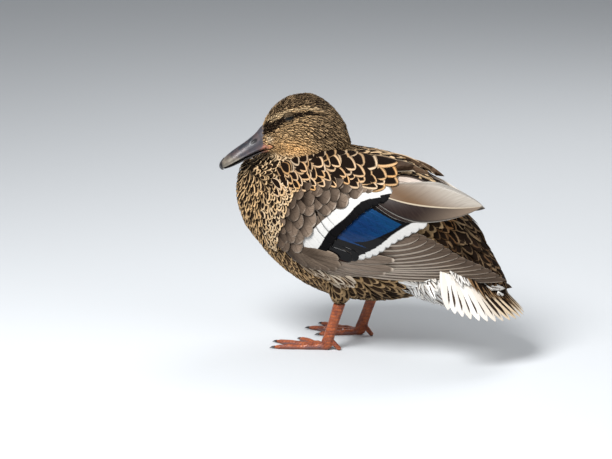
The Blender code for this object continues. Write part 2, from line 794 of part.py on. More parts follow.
# Soft wedges over and under the tail: y, top, widest line, bottom, half width.
UPPER_TAIL_COVERTS = [
    (132.0, 126.0, 110.0, 88.0, 13.0),
    (147.0, 117.5, 99.0, 75.0, 17.0),
    (158.0, 101.0, 88.0, 66.0, 15.0),
    (167.0, 87.0, 78.0, 60.0, 10.0),
    (171.0, 80.0, 74.0, 66.0, 3.0),
]
UNDER_TAIL_COVERTS = [
    (74.0, 80.0, 70.0, 61.0, 20.0),
    (86.0, 90.0, 76.0, 58.0, 32.0),
    (102.0, 95.0, 78.0, 55.0, 38.0),
    (120.0, 94.0, 76.0, 53.0, 36.0),
    (138.0, 84.0, 68.0, 51.0, 29.0),
    (154.0, 74.0, 61.0, 48.0, 19.0),
    (164.0, 64.0, 56.0, 47.0, 9.0),
]


def wedge(name, rows, collection, grow=0.0, around=12):
    rings = []
    for k, (y, top, widest, bottom, half) in enumerate(rows):
        ring = egg_ring(top + grow, widest, bottom - grow, half + grow, around)
        y += grow * (2 * k / (len(rows) - 1) - 1)
        rings.append([(x, y, z) for x, z in ring])
    return loft(name, rings, collection)


def tail(body_clearance, colours, tools, duck):
    """The fan, parted in three, with the wedges of coverts above and below it.

    Returns the cutters that keep other pieces a gap away from it."""
    clearance = tail_room("tail_clearance", tools)
    over = half_space("over_tail", tail_point(0.0, 0.0, 0.0), tail_normal(-1.0), tools)
    under = half_space("under_tail", tail_point(0.0, 0.0, 0.0), tail_normal(1.0), tools)
    upper = wedge("upper_tail_coverts", UPPER_TAIL_COVERTS, tools)
    lower = wedge("under_tail_coverts", UNDER_TAIL_COVERTS, tools)
    for piece, side in ((upper, over), (lower, under)):
        boolean(piece, side, "INTERSECT")
        boolean(piece, clearance, "DIFFERENCE")
        boolean(piece, body_clearance, "DIFFERENCE")
    keep_largest(part(upper, "upper_tail_coverts", colours["rump"], duck))
    keep_largest(part(lower, "under_tail_coverts", colours["tail"], duck))

    third = TAIL_SPREAD / 3
    plate = boolean(tail_plate("tail_plate", tools), body_clearance, "DIFFERENCE")
    plate = apply_modifiers(plate)
    for name, low, high in (
        ("tail_right", -2 * TAIL_SPREAD, -third),
        ("tail_middle", -third, third),
        ("tail_left", third, 2 * TAIL_SPREAD),
    ):
        sector = tail_sector(f"{name}_sector", low, high, tools)
        piece = boolean(copy_of(plate, name, tools), sector, "INTERSECT")
        keep_largest(part(piece, name, colours["tail"], duck))
    grown_upper = wedge("upper_tail_coverts_clearance", UPPER_TAIL_COVERTS, tools, GAP)
    grown_lower = wedge("under_tail_coverts_clearance", UNDER_TAIL_COVERTS, tools, GAP)
    return [clearance, grown_upper, grown_lower]


def tail_normal(way):
    return (0.0, way * math.sin(TAIL_DROOP), way * math.cos(TAIL_DROOP))


def tail_sector(name, low, high, collection):
    """A wedge of the fan between two angles, with half the gap taken off each side."""
    reach = 160.0
    inset = GAP / 2 / 40.0
    angles = [low + inset + (high - low - 2 * inset) * k / 6 for k in range(7)]
    s, c = math.sin(TAIL_DROOP), math.cos(TAIL_DROOP)
    x, y, z = TAIL_ROOT

    def at(forward, side, height):
        return (x + side, y + forward * c + height * s, z - forward * s + height * c)

    rings = []
    for height in (-70.0, 70.0):
        ring = [at(-1.0, 0.0, height)]
        ring += [at(reach * math.cos(a), reach * math.sin(a), height) for a in angles]
        rings.append(ring)
    return loft(name, rings, collection)


# ---------------------------------------------------------------- legs


def toe_end(ankle, side, angle, length):
    turn = math.radians(angle)
    return (ankle[0] + side * math.sin(turn) * length, ankle[1] - math.cos(turn) * length)


def toe(name, ankle, side, angle, length, collection):
    """A toe that swells at its joints and lies along the floor."""
    shares = (0.0, 0.22, 0.36, 0.5, 0.7, 0.92, 1.0)
    radii = (4.4, 3.0, 3.4, 2.6, 3.0, 2.3, 1.2)
    heights = (3.6, 2.6, 2.5, 1.9, 2.0, 1.8, 1.7)
    end = toe_end(ankle, side, angle, length)
    points = [(*between(ankle[:2], end, t), z) for t, z in zip(shares, heights)]
    return tapered_tube(name, points, radii, collection)


def web(name, ankle, side, collection):
    """The skin between the toes: a thin plate, scooped between their tips and ridged at the toes."""
    toes = [TOES["inner"], TOES["middle"], TOES["outer"]]
    angles, lengths, sags = [], [], []
    for (a, la), (b, lb) in zip(toes, toes[1:]):
        for k in range(4):
            t = k / 4
            angles.append(a + (b - a) * t)
            hollow = 0.17 * math.sin(math.pi * t)
            lengths.append((0.93 * (la + (lb - la) * t)) * (1 - hollow))
            sags.append(0.5 * math.sin(math.pi * t))
    angles.append(toes[-1][0])
    lengths.append(0.93 * toes[-1][1])
    sags.append(0.0)
    rings = []
    for angle, length, sag in zip(angles, lengths, sags):
        spots = [(*toe_end(ankle, side, angle, length * r), r) for r in (0.06, 0.5, 1.0)]
        base = [1.5 + 2.5 * (1 - r) ** 3 - sag for _, _, r in spots]
        top = [(x, y, z + WEB_THICKNESS / 2) for (x, y, _), z in zip(spots, base)]
        bottom = [(x, y, z - WEB_THICKNESS / 2) for (x, y, _), z in zip(spots, base)]
        rings.append(top + bottom[::-1])
    return loft(name, rings, collection)


def claw(name, ankle, side, angle, length, collection, start_height=1.9):
    x0, y0 = toe_end(ankle, side, angle, length + GAP)
    x1, y1 = toe_end(ankle, side, angle, length + CLAW_LENGTH * 0.55)
    x2, y2 = toe_end(ankle, side, angle, length + CLAW_LENGTH)
    points = [(x0, y0, start_height), (x1, y1, start_height + 0.1), (x2, y2, 0.9)]
    return tapered_tube(name, points, (1.3, 1.15, 0.5), collection)


def narrowed(obj, middle_x, share):
    """Squeezes a piece sideways about its middle."""
    centre = Matrix.Translation((middle_x * MM, 0.0, 0.0))
    squeeze = Matrix.Scale(share, 4, (1.0, 0.0, 0.0))
    obj.data.transform(centre @ squeeze @ centre.inverted())
    return obj


def leg(side, word, hock, ankle, body_clearance, colours, tools, duck):
    """Feathered thigh, scaled shank, webbed foot with its hind toe, and the claws of one leg."""
    shank_axis = [between(hock, ankle, t) for t in (-0.35, 0.0, 0.25, 0.6, 0.85, 1.0, 1.1)]
    shank_radii = (5.0, 6.3, 5.6, 5.1, 5.4, 6.0, 5.0)
    shank = tapered_tube(f"{word}_shank", shank_axis, shank_radii, tools, sides=2)
    narrowed(shank, ankle[0], SHANK_NARROWING)
    knee = (hock[0], hock[1] - 2.0, hock[2] + 22.0)
    lower = between(hock, ankle, 0.12)
    thigh_axis = [between(knee, lower, t) for t in (0.0, 0.35, 0.62, 0.85, 1.0)]
    thigh_radii = (16.0, 14.5, 11.8, 9.0, 7.4)
    thigh = tapered_tube(f"{word}_thigh", thigh_axis, thigh_radii, tools, sides=3)

    def level(name, height, way):
        return half_space(f"{word}_{name}", (0.0, 0.0, height), (0.0, 0.0, way), tools)

    floor = level("floor", 0.0, -1.0)
    foot = copy_of(shank, f"{word}_foot", tools)
    for name, (angle, length) in TOES.items():
        boolean(foot, toe(f"{word}_{name}_toe", ankle, side, angle, length, tools), "UNION")
    boolean(foot, web(f"{word}_web", ankle, side, tools), "UNION")
    hind_root = (ankle[0], ankle[1] + 1.0, HIND_TOE_HEIGHT)
    hind_tip = (ankle[0] - side * 2.0, ankle[1] + HIND_TOE_REACH, 0.9)
    hind_axis = [between(hind_root, hind_tip, t) for t in (0.0, 0.5, 0.85, 1.0)]
    hind = tapered_tube(f"{word}_hind", hind_axis, (2.6, 2.4, 2.1, 1.9), tools)
    boolean(foot, hind, "UNION")
    boolean(foot, level("below_ankle", FOOT_TOP, 1.0), "INTERSECT")
    boolean(foot, floor, "INTERSECT")

    boolean(thigh, level("thigh_floor", THIGH_END, -1.0), "INTERSECT")
    boolean(thigh, body_clearance, "DIFFERENCE")
    boolean(shank, level("below_thigh", THIGH_END - GAP, 1.0), "INTERSECT")
    boolean(shank, level("above_foot", FOOT_TOP + GAP, -1.0), "INTERSECT")

    keep_largest(part(thigh, f"thigh_{word}", colours["belly"], duck))
    keep_largest(part(shank, f"shank_{word}", colours["leg"], duck))
    keep_largest(part(foot, f"foot_{word}", colours["leg"], duck))
    for name, (angle, length) in TOES.items():
        nail = claw(f"{word}_{name}_claw", ankle, side, angle, length, tools)
        boolean(nail, floor, "INTERSECT")
        keep_largest(part(nail, f"claw_{word}_{name}", colours["claw"], duck))
    way = (Vector(hind_tip) - Vector(hind_root)).normalized()
    nail_axis = [Vector(hind_tip) + way * GAP, Vector(hind_tip) + way * 1.2]
    nail_axis.append(nail_axis[1] + Vector((0.0, 1.6, -0.1)))
    nail = tapered_tube(f"{word}_hind_claw", nail_axis, (1.2, 1.0, 0.5), tools)
    boolean(nail, floor, "INTERSECT")
    keep_largest(part(nail, f"claw_{word}_hind", colours["claw"], duck))


# ---------------------------------------------------------------- the duck


def centre_on_floor(duck):
    """Carries the duck so that the origin lies on the floor under the middle of its whole box."""
    corners = [Vector(corner) for obj in duck.objects for corner in obj.bound_box]
    middle = [(min(c[k] for c in corners) + max(c[k] for c in corners)) / 2 for k in (0, 1)]
    parts = list(duck.objects)
    stand = bpy.data.objects.new("floor_centre", None)
    duck.objects.link(stand)
    stand.location = (-middle[0], -middle[1], 0.0)
    for obj in parts:
        obj.parent = stand


def main():
    clear_scene()
    duck = new_collection("hen_mallard")
    tools = new_collection("cutters")
    tools.hide_render = True

    buff = finish("buff_plumage", (0.36, 0.25, 0.15), 0.8)
    brown = finish("brown_plumage", (0.20, 0.14, 0.09), 0.8)
    colours = {
        "head": buff,
        "neck": buff,
        "breast": buff,
        "belly": buff,
        "hind_belly": buff,
        "mantle": brown,
        "vent": buff,
        "back": brown,
        "rump": brown,
        "scapular": finish("scapular", (0.07, 0.045, 0.03), 0.75),
        "covert": finish("grey_covert", (0.22, 0.18, 0.15), 0.7),
        "speculum": finish("blue_speculum", (0.02, 0.09, 0.30), 0.35),
        "primary": finish("primary", (0.22, 0.18, 0.15), 0.6),
        "tertial": finish("tertial", (0.35, 0.29, 0.24), 0.6),
        "tail": finish("tail_white", (0.75, 0.72, 0.66), 0.7),
        "leg": finish("orange_leg", (0.62, 0.16, 0.04), 0.5),
        "claw": finish("claw", (0.05, 0.04, 0.04), 0.4),
    }
    horn = finish("grey_bill", (0.09, 0.085, 0.09), 0.4)
    dark_horn = finish("black_nail", (0.02, 0.02, 0.02), 0.35)
    eye_dark = finish("eye", (0.015, 0.01, 0.008), 0.08)

    body = whole_body("whole", tools)
    body_clearance = whole_body("clearance", tools, GAP)
    head_clearance = head_loft("head_clearance", tools, GAP)
    parts = body_parts(body, colours, tools, duck)
    eyes(parts["head"], eye_dark, tools, duck)
    bill(head_clearance, horn, dark_horn, tools, duck)
    clearances = [body_clearance] + tail(body_clearance, colours, tools, duck)
    for word in ("left", "right"):
        wing(word, clearances, colours, tools, duck)
    leg(1.0, "left", LEFT_HOCK, LEFT_ANKLE, body_clearance, colours, tools, duck)
    leg(-1.0, "right", RIGHT_HOCK, RIGHT_ANKLE, body_clearance, colours, tools, duck)
    for helper in tools.objects:
        helper.hide_render = True
        helper.display_type = "WIRE"
    centre_on_floor(duck)


main()
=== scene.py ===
"""A hen mallard standing at rest, life size: skin, plumage, bill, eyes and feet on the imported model.

Places are written in the maker's own millimetres: x to the duck's left, y towards its tail, z up
from the floor.  spot() carries them into the frame, and head_spot() does so from the head's middle."""

import math

import bmesh
import bpy
import numpy as np
from mathutils import Matrix, Vector
from mathutils.bvhtree import BVHTree
from mathutils.kdtree import KDTree


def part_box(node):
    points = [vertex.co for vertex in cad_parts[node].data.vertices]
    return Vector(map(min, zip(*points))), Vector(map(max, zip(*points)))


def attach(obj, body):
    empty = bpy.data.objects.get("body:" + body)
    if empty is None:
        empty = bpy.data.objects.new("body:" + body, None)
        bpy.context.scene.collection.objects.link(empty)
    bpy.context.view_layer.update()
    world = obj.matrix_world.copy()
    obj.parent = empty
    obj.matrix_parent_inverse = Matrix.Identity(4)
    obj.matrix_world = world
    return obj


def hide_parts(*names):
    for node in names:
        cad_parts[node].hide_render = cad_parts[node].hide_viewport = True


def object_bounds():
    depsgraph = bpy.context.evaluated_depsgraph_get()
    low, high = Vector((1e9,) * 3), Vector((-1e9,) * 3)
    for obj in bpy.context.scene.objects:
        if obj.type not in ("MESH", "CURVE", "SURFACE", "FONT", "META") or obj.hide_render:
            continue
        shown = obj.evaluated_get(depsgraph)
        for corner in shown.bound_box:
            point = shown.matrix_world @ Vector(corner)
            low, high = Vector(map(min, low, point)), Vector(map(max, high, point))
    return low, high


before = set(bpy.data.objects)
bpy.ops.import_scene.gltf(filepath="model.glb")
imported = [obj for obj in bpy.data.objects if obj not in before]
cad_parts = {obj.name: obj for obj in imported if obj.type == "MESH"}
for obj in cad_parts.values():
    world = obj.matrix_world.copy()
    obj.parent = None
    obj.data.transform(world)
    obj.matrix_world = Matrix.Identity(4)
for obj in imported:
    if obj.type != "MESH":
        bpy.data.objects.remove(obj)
box_low, box_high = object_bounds()

# ---------------------------------------------------------------- camera, lights and floor
# A long lens looks at the bird's left side from a little behind it and above it.  Three large soft
# lamps and a pale sky light it evenly, and it stands on a plain pale floor.

MM = 0.001
AZIMUTH, ELEVATION = math.radians(112.0), math.radians(14.0)
CAMERA_DISTANCE = 3.0
VIEW_WIDTH = 0.612
SENSOR = 36.0
AIM_RIGHT, AIM_UP = -0.0698, -0.0064  # from the middle of the bird's box, across the view


def looking_from(azimuth, elevation):
    """Right, up and backward directions of a camera at that place round the bird."""
    back = Vector((
        math.sin(azimuth) * math.cos(elevation),
        -math.cos(azimuth) * math.cos(elevation),
        math.sin(elevation),
    ))
    right = Vector((math.cos(azimuth), math.sin(azimuth), 0.0))
    return right, back.cross(right), back


def set_towards(obj, place, right, up, back):
    turn = Matrix((right, up, back)).transposed().to_4x4()
    turn.translation = place
    obj.matrix_world = turn
    bpy.context.scene.collection.objects.link(obj)


right, up, back = looking_from(AZIMUTH, ELEVATION)
middle = (box_low + box_high) / 2
camera = bpy.data.objects.new("camera", bpy.data.cameras.new("camera"))
camera.data.sensor_width = SENSOR
camera.data.lens = SENSOR * CAMERA_DISTANCE / VIEW_WIDTH
aim = middle + right * AIM_RIGHT + up * AIM_UP
set_towards(camera, aim + back * CAMERA_DISTANCE, right, up, back)
bpy.context.scene.camera = camera

LAMPS = {  # azimuth, elevation, distance, size, watts
    "key": (75.0, 50.0, 1.5, 0.8, 38.0),
    "fill": (165.0, 30.0, 1.8, 1.4, 7.0),
    "rim": (262.0, 46.0, 1.6, 0.9, 10.0),
}
for word, (azimuth, elevation, distance, size, watts) in LAMPS.items():
    lamp = bpy.data.objects.new(f"{word}_lamp", bpy.data.lights.new(f"{word}_lamp", "AREA"))
    lamp.data.shape = "DISK"
    lamp.data.size = size
    lamp.data.energy = watts
    axes = looking_from(math.radians(azimuth), math.radians(elevation))
    set_towards(lamp, middle + axes[2] * distance, *axes)

SKY = (0.93, 0.96, 1.0, 1.0)
SKY_STRENGTH = 0.30
world = bpy.data.worlds.new("studio")
world.use_nodes = True
world.node_tree.nodes["Background"].inputs["Color"].default_value = SKY
world.node_tree.nodes["Background"].inputs["Strength"].default_value = SKY_STRENGTH
bpy.context.scene.world = world

bpy.context.scene.view_settings.view_transform = "Standard"

FLOOR_SIZE = 12.0
FLOOR_COLOUR = (0.56, 0.58, 0.60, 1.0)
FLOOR_ROUGHNESS = 0.7
bpy.ops.mesh.primitive_plane_add(size=FLOOR_SIZE)
floor = bpy.context.object
floor.name = "floor"
floor_finish = bpy.data.materials.new("pale_floor")
floor_finish.use_nodes = True
floor_finish.node_tree.nodes["Principled BSDF"].inputs["Base Color"].default_value = FLOOR_COLOUR
floor_finish.node_tree.nodes["Principled BSDF"].inputs["Roughness"].default_value = FLOOR_ROUGHNESS
floor.data.materials.append(floor_finish)

# ---------------------------------------------------------------- the bird's form
# The outside of the plumage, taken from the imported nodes: one smooth closed surface over head, neck,
# trunk, thighs and tail coverts.  Skin and feathers are both measured from it.

BILL_TIP_Y = -121.07  # the bird's foremost point in the maker's millimetres
TO_FRAME_Y = box_low.y - BILL_TIP_Y * MM
HEAD_CENTRE = (4.5, -41.0, 218.6)
HEAD_TURN = math.radians(22.0)
FLESH = ["head", "neck", "breast", "mantle", "back", "belly", "hind_belly", "rump", "vent"]
FLESH += ["thigh_left", "thigh_right"]
TAIL_WEDGES = ["upper_tail_coverts", "under_tail_coverts"]
FORM_VOXEL = 2.2 * MM
FORM_SMOOTHING = 9
GAP_FILL = 0.35 * MM  # closes the thin cuts between nodes
SAME_PLACE = 0.001 * MM  # points nearer than this are one
FIELD_STEP = 3.0 * MM
FIELD_REACH = 15.0 * MM


def spot(x, y, z):
    return Vector((x * MM, y * MM + TO_FRAME_Y, z * MM))


def from_head(points):
    """Head measures (forward, across to its left, up) of frame points, in millimetres."""
    away = np.asarray(points) - np.array(spot(*HEAD_CENTRE))
    s, c = math.sin(HEAD_TURN), math.cos(HEAD_TURN)
    forward = away[..., 0] * s - away[..., 1] * c
    across = away[..., 0] * c + away[..., 1] * s
    return np.stack([forward, across, away[..., 2]], -1) / MM


def head_way(forward, across, up):
    s, c = math.sin(HEAD_TURN), math.cos(HEAD_TURN)
    return np.array((forward * s + across * c, -forward * c + across * s, up))


def head_spot(forward, across, up):
    return spot(*(np.array(HEAD_CENTRE) + head_way(forward, across, up)))


def unit(vectors):
    return vectors / np.maximum(np.linalg.norm(vectors, axis=-1, keepdims=True), 1e-12)


def places_of(mesh):
    """A mesh's points, one row for each."""
    places = np.empty(len(mesh.vertices) * 3)
    mesh.vertices.foreach_get("co", places)
    return places.reshape(-1, 3)


def applied(obj):
    """A plain mesh of obj with its modifiers applied."""
    bpy.context.view_layer.update()
    graph = bpy.context.evaluated_depsgraph_get()
    return bpy.data.meshes.new_from_object(obj.evaluated_get(graph))


def new_piece(name, mesh):
    obj = bpy.data.objects.new(name, mesh)
    bpy.context.scene.collection.objects.link(obj)
    return obj


def melted(name, nodes, voxel, smoothing):
    """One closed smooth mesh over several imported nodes."""
    shape = bmesh.new()
    for node in nodes:
        before = len(shape.verts)
        shape.from_mesh(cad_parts[node].data)
        shape.verts.ensure_lookup_table()
        grown = bmesh.new()
        grown.from_mesh(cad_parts[node].data)
        bmesh.ops.remove_doubles(grown, verts=grown.verts[:], dist=SAME_PLACE)
        grown.normal_update()
        place = KDTree(len(grown.verts))
        for k, vert in enumerate(grown.verts):
            place.insert(vert.co, k)
        place.balance()
        grown.verts.ensure_lookup_table()
        for vert in shape.verts[before:]:
            _, k, _ = place.find(vert.co)
            vert.co = vert.co + grown.verts[k].normal * GAP_FILL
        grown.free()
    bmesh.ops.remove_doubles(shape, verts=shape.verts[:], dist=SAME_PLACE)
    mesh = bpy.data.meshes.new(name)
    shape.to_mesh(mesh)
    shape.free()
    obj = new_piece(name, mesh)
    remesh = obj.modifiers.new("melt", "REMESH")
    remesh.mode = "VOXEL"
    remesh.voxel_size = voxel
    smooth = obj.modifiers.new("smooth", "SMOOTH")
    smooth.iterations = smoothing
    result = applied(obj)
    bpy.data.objects.remove(obj)
    return result


class Form:
    """The outside of a closed surface as a field: how far a point is outside it, and which way is out."""

    def __init__(self, mesh):
        self.places = places = places_of(mesh)
        mesh.calc_loop_triangles()
        corners = np.empty(len(mesh.loop_triangles) * 3, int)
        mesh.loop_triangles.foreach_get("vertices", corners)
        self.triangles = corners.reshape(-1, 3)
        tree = BVHTree.FromPolygons(places.tolist(), self.triangles.tolist())
        self.low = places.min(0) - FIELD_REACH
        extent = places.max(0) + FIELD_REACH - self.low
        self.count = np.ceil(extent / FIELD_STEP).astype(int) + 1
        field = np.full(tuple(self.count), FIELD_REACH)
        for cell in np.ndindex(*self.count):
            place = Vector(self.low + np.array(cell) * FIELD_STEP)
            found, normal, _, distance = tree.find_nearest(place, FIELD_REACH)
            if found is not None:
                inside = (place - found).dot(normal) < 0
                field[cell] = -distance if inside else distance
        slopes = np.stack(np.gradient(field, FIELD_STEP), -1)
        self.field = np.concatenate([field[..., None], slopes], -1)

    def at(self, points):
        """Distance outside the surface, and the unit direction outwards, at each point."""
        points = np.asarray(points)
        flat = points.reshape(-1, 3)
        cell = (flat - self.low) / FIELD_STEP
        corner = np.clip(np.floor(cell).astype(int), 0, self.count - 2)
        share = np.clip(cell - corner, 0, 1)
        total = np.zeros((len(flat), 4))
        for corner_bits in range(8):
            bits = np.array([corner_bits >> k & 1 for k in range(3)])
            weight = np.prod(np.where(bits, share, 1 - share), -1)
            i, j, k = (corner + bits).T
            total += self.field[i, j, k] * weight[:, None]
        shape = points.shape[:-1]
        return total[:, 0].reshape(shape), unit(total[:, 1:]).reshape(*shape, 3)

    def settled(self, points):
        """The points moved onto the surface, and the outward directions there."""
        for _ in range(2):
            distance, normal = self.at(points)
            points = points - normal * distance[..., None]
        return points, self.at(points)[1]


form_mesh = melted("form", FLESH + TAIL_WEDGES, FORM_VOXEL, FORM_SMOOTHING)
body_form = Form(form_mesh)

# ---------------------------------------------------------------- markings and the skin
# The thin skin under the plumage.  One closed surface stands for every node of flesh, a coat's
# depth inside them, and carries the plumage's own colours, so that nothing bare shows between feathers.

COAT_DEPTH = 3.6 * MM
FACE_DEPTH = 1.6 * MM
BUFF = (0.52, 0.335, 0.165)
TAN = (0.33, 0.225, 0.13)
CREAM = (0.74, 0.60, 0.42)
CHEEK = (0.66, 0.38, 0.155)
CHEEK_MARK = (0.46, 0.25, 0.095)
CROWN = (0.27, 0.18, 0.10)
BROW_COLOUR = (0.60, 0.45, 0.27)
BELLY = (0.15, 0.095, 0.05)
RUMP_EDGE = (0.085, 0.045, 0.022)
RUMP_RUST = (0.38, 0.17, 0.05)
RUMP_PALE = (0.80, 0.76, 0.70)
UMBER = (0.055, 0.032, 0.018)
DARK = (0.011, 0.0065, 0.0042)
# White, brighter than the tail's white: the feathers' own white plus painted light on feathers that face
# the floor.
UNDER_TAIL = (0.88, 0.87, 0.84)
UNDER_TAIL_STREAK = (0.10, 0.065, 0.045)
TAIL_ROOT = (0.0, 116.0, 111.0)
TAIL_DROOP = math.radians(42.0)
SKIN_TONE = 0.55  # how much of the feathers' brightness the shaded skin keeps

# Face stripes as (forward, up) from the head's middle: the dark line through the eye and the brow.
EYE_LINE = [(-12.0, 18.5), (-4.0, 20.2), (4.0, 19.8), (11.0, 18.0), (17.0, 16.0)]
EYE_LINE += [(23.0, 12.6), (29.0, 8.6), (35.0, 4.2), (42.0, 1.0)]
EYE_LINE_HALF = [(-14.0, 0.4), (-4.0, 1.3), (8.0, 1.8), (20.0, 2.6), (29.0, 3.4), (42.0, 5.2)]
BROW = [(-18.0, 22.5), (-6.0, 24.6), (4.0, 24.4), (14.0, 22.4), (23.0, 18.6), (31.0, 14.2), (38.0, 9.4)]
BROW_HALF = [(-20.0, 0.6), (-4.0, 1.2), (14.0, 1.5), (26.0, 2.2), (38.0, 1.8)]


def run(table, at):
    """Straight-line value at `at` in a list of (key, value) points with rising keys."""
    keys, values = zip(*table)
    return np.interp(at, keys, values)


def step_up(low, high, value):
    """0 below low, 1 above high, smooth between."""
    t = np.clip((value - low) / (high - low), 0, 1)
    return t * t * (3 - 2 * t)


def blend(a, b, share):
    """Colours a to b by share, one row for each point."""
    share = np.asarray(share)[..., None]
    return np.asarray(a) * (1 - share) + np.asarray(b) * share


def head_share(points):
    """1 on the head, 0 on the body, with a soft border round the neck."""
    height = np.asarray(points)[..., 2] / MM
    nape = from_head(points)[..., 0]
    return step_up(190.0, 202.0, height + 0.13 * nape)


def head_markings(points):
    """Ground colour, mark colour and mark width of the head's feathers."""
    forward, across, up = np.moveaxis(from_head(points), -1, 0)
    aside = np.abs(across)
    line = 1 - step_up(0.75, 1.3, np.abs(up - run(EYE_LINE, forward)) / run(EYE_LINE_HALF, forward))
    line *= step_up(-14.0, -9.0, forward) * step_up(4.0, 8.0, aside)
    brow = 1 - step_up(0.7, 1.4, np.abs(up - run(BROW, forward)) / run(BROW_HALF, forward))
    brow *= step_up(-20.0, -8.0, forward) * (1 - line) * step_up(5.0, 9.0, aside)
    crown = step_up(1.0, 3.5, up - run(BROW, forward)) * (1 - 0.45 * step_up(8.0, 34.0, -forward))
    nape = step_up(20.0, 38.0, -forward) * step_up(0.0, 12.0, 16.0 - aside)
    cheek = np.exp(-(((forward - 15.0) / 17.0) ** 2) - ((up + 15.5) / 8.0) ** 2)
    lore = np.exp(-(((forward - 37.5) / 2.6) ** 2) - ((up + 8.0) / 3.4) ** 2) * step_up(6.0, 9.0, aside)
    throat = step_up(19.0, 27.0, -up) * step_up(-8.0, 10.0, forward)
    ground = blend(BUFF, TAN, step_up(-6.0, 12.0, -forward) * 0.7)
    ground = blend(ground, CHEEK, 0.85 * cheek)
    ground = blend(ground, BROW_COLOUR, 0.7 * brow)
    ground = blend(ground, CREAM, 0.8 * lore)
    ground = blend(ground, CREAM, 0.45 * throat)
    ground = blend(ground, CROWN, 0.8 * crown)
    ground = blend(ground, DARK, 0.85 * line)
    mark = blend(np.tile(DARK, (*forward.shape, 1)), CHEEK_MARK, cheek)
    width = 0.46 + 0.24 * crown + 0.12 * nape - 0.30 * cheek - 0.22 * brow - 0.34 * lore - 0.16 * throat
    width = np.where(line > 0.3, 0.5 + 0.8 * line, width)
    return ground, mark, width


def body_markings(points):
    """Ground colour, mark colour and mark width of the trunk's feathers."""
    y, height = body_y(points), points[:, 2] / MM
    above = step_up(150.0, 178.0, height + 0.15 * y)
    rear = step_up(70.0, 110.0, y)
    below = step_up(10.0, 40.0, 100.0 - height)
    breast = step_up(20.0, 60.0, -y - 20.0)
    ground = blend(BUFF, CREAM, 0.30 * above * (1 - rear))
    ground = blend(ground, BELLY, 0.85 * below)
    ground = blend(ground, TAN, 0.45 * rear * above)
    pale = np.exp(-(((y - 118.0) / 9.0) ** 2) - ((height - 138.0) / 10.0) ** 2)
    ground = blend(ground, RUMP_PALE, pale)
    mark = blend(UMBER, DARK, np.maximum(np.maximum(above, breast), below))
    return ground, mark, 0.64 + 0.16 * above + 0.02 * breast - 0.3 * pale


def body_y(points):
    """How far points lie towards the tail, in the maker's millimetres."""
    return points[:, 1] / MM - TO_FRAME_Y / MM


def tail_height(points):
    """Millimetres above the slanting plane of the tail fan, seen from its root."""
    above = points[:, 2] / MM - TAIL_ROOT[2]
    return (body_y(points) - TAIL_ROOT[1]) * math.sin(TAIL_DROOP) + above * math.cos(TAIL_DROOP)


def under_tail(points):
    """True on the white feathers below the tail."""
    height = points[:, 2] / MM
    behind = body_y(points) > 62.0 + 0.55 * np.maximum(86.5 - height, 0.0)
    return behind & (tail_height(points) < 0.0)


def on_rump(points):
    """True on the dark feathers above the tail's root."""
    return (body_y(points) > 94.0) & (tail_height(points) >= 0.0)


def rump_markings(points):
    """Nearly black feathers edged with dark rust, and a buff patch on each side."""
    side, y = np.abs(points[:, 0]) / MM, body_y(points)
    pale = 0.6 * np.exp(-(((side - 15.0) / 6.0) ** 2) - ((y - 118.0) / 6.0) ** 2)
    rust = np.exp(-(((side - 20.0) / 9.0) ** 2) - ((y - 102.0) / 8.0) ** 2)
    ground = blend(blend(RUMP_EDGE, RUMP_RUST, rust), BROW_COLOUR, pale)
    return ground, np.tile(DARK, (len(points), 1)), 0.80 - 0.4 * pale - 0.25 * rust


def under_tail_markings(points):
    """White feathers with a narrow brown streak."""
    count = len(points)
    return np.tile(UNDER_TAIL, (count, 1)), np.tile(UNDER_TAIL_STREAK, (count, 1)), np.full(count, 0.17)


def columns_of(share, values):
    """Shares of points, shaped to work on one value or on one colour for each point."""
    return share[:, None] if values.ndim > share.ndim else share


def markings(points):
    """Ground colour, mark colour and mark width of the feather at each place."""
    share = head_share(points)
    mixed = [mixed_values(a, b, share) for a, b in zip(body_markings(points), head_markings(points))]
    for here, marked in ((on_rump, rump_markings), (under_tail, under_tail_markings)):
        inside, values = here(points), marked(points)
        mixed = [np.where(columns_of(inside, a), b, a) for a, b in zip(mixed, values)]
    return mixed


def mixed_values(a, b, share):
    share = columns_of(share, a)
    return a * (1 - share) + b * share


class Socket:
    """One output of a shader node; Python arithmetic on it adds Math nodes."""

    def __init__(self, finish, output):
        self.finish, self.output = finish, output

    def math(self, operation, *values):
        return self.finish.node("ShaderNodeMath", {"operation": operation}, dict(enumerate(values)))

    def __add__(self, other):
        return self.math("ADD", self, other)

    def __sub__(self, other):
        return self.math("SUBTRACT", self, other)

    def __rsub__(self, other):
        return self.math("SUBTRACT", other, self)

    def __mul__(self, other):
        return self.math("MULTIPLY", self, other)

    def __truediv__(self, other):
        return self.math("DIVIDE", self, other)

    def __pow__(self, other):
        return self.math("POWER", self, other)

    def __abs__(self):
        return self.math("ABSOLUTE", self)

    __radd__ = __add__
    __rmul__ = __mul__

    def larger(self, other):
        return self.math("MAXIMUM", self, other)

    def scrambled(self, by):
        """Another chance value between 0 and 1, worked out from this one."""
        return self.math("FRACT", self * by)

    def eased(self, low, high):
        """0 below low, 1 above high, smooth between; the other way round where low is over high."""
        sockets = {"Value": self, "From Min": low, "From Max": high}
        return self.finish.node("ShaderNodeMapRange", {"interpolation_type": "SMOOTHSTEP"}, sockets)


NOISE_ROUGHNESS = 0.55


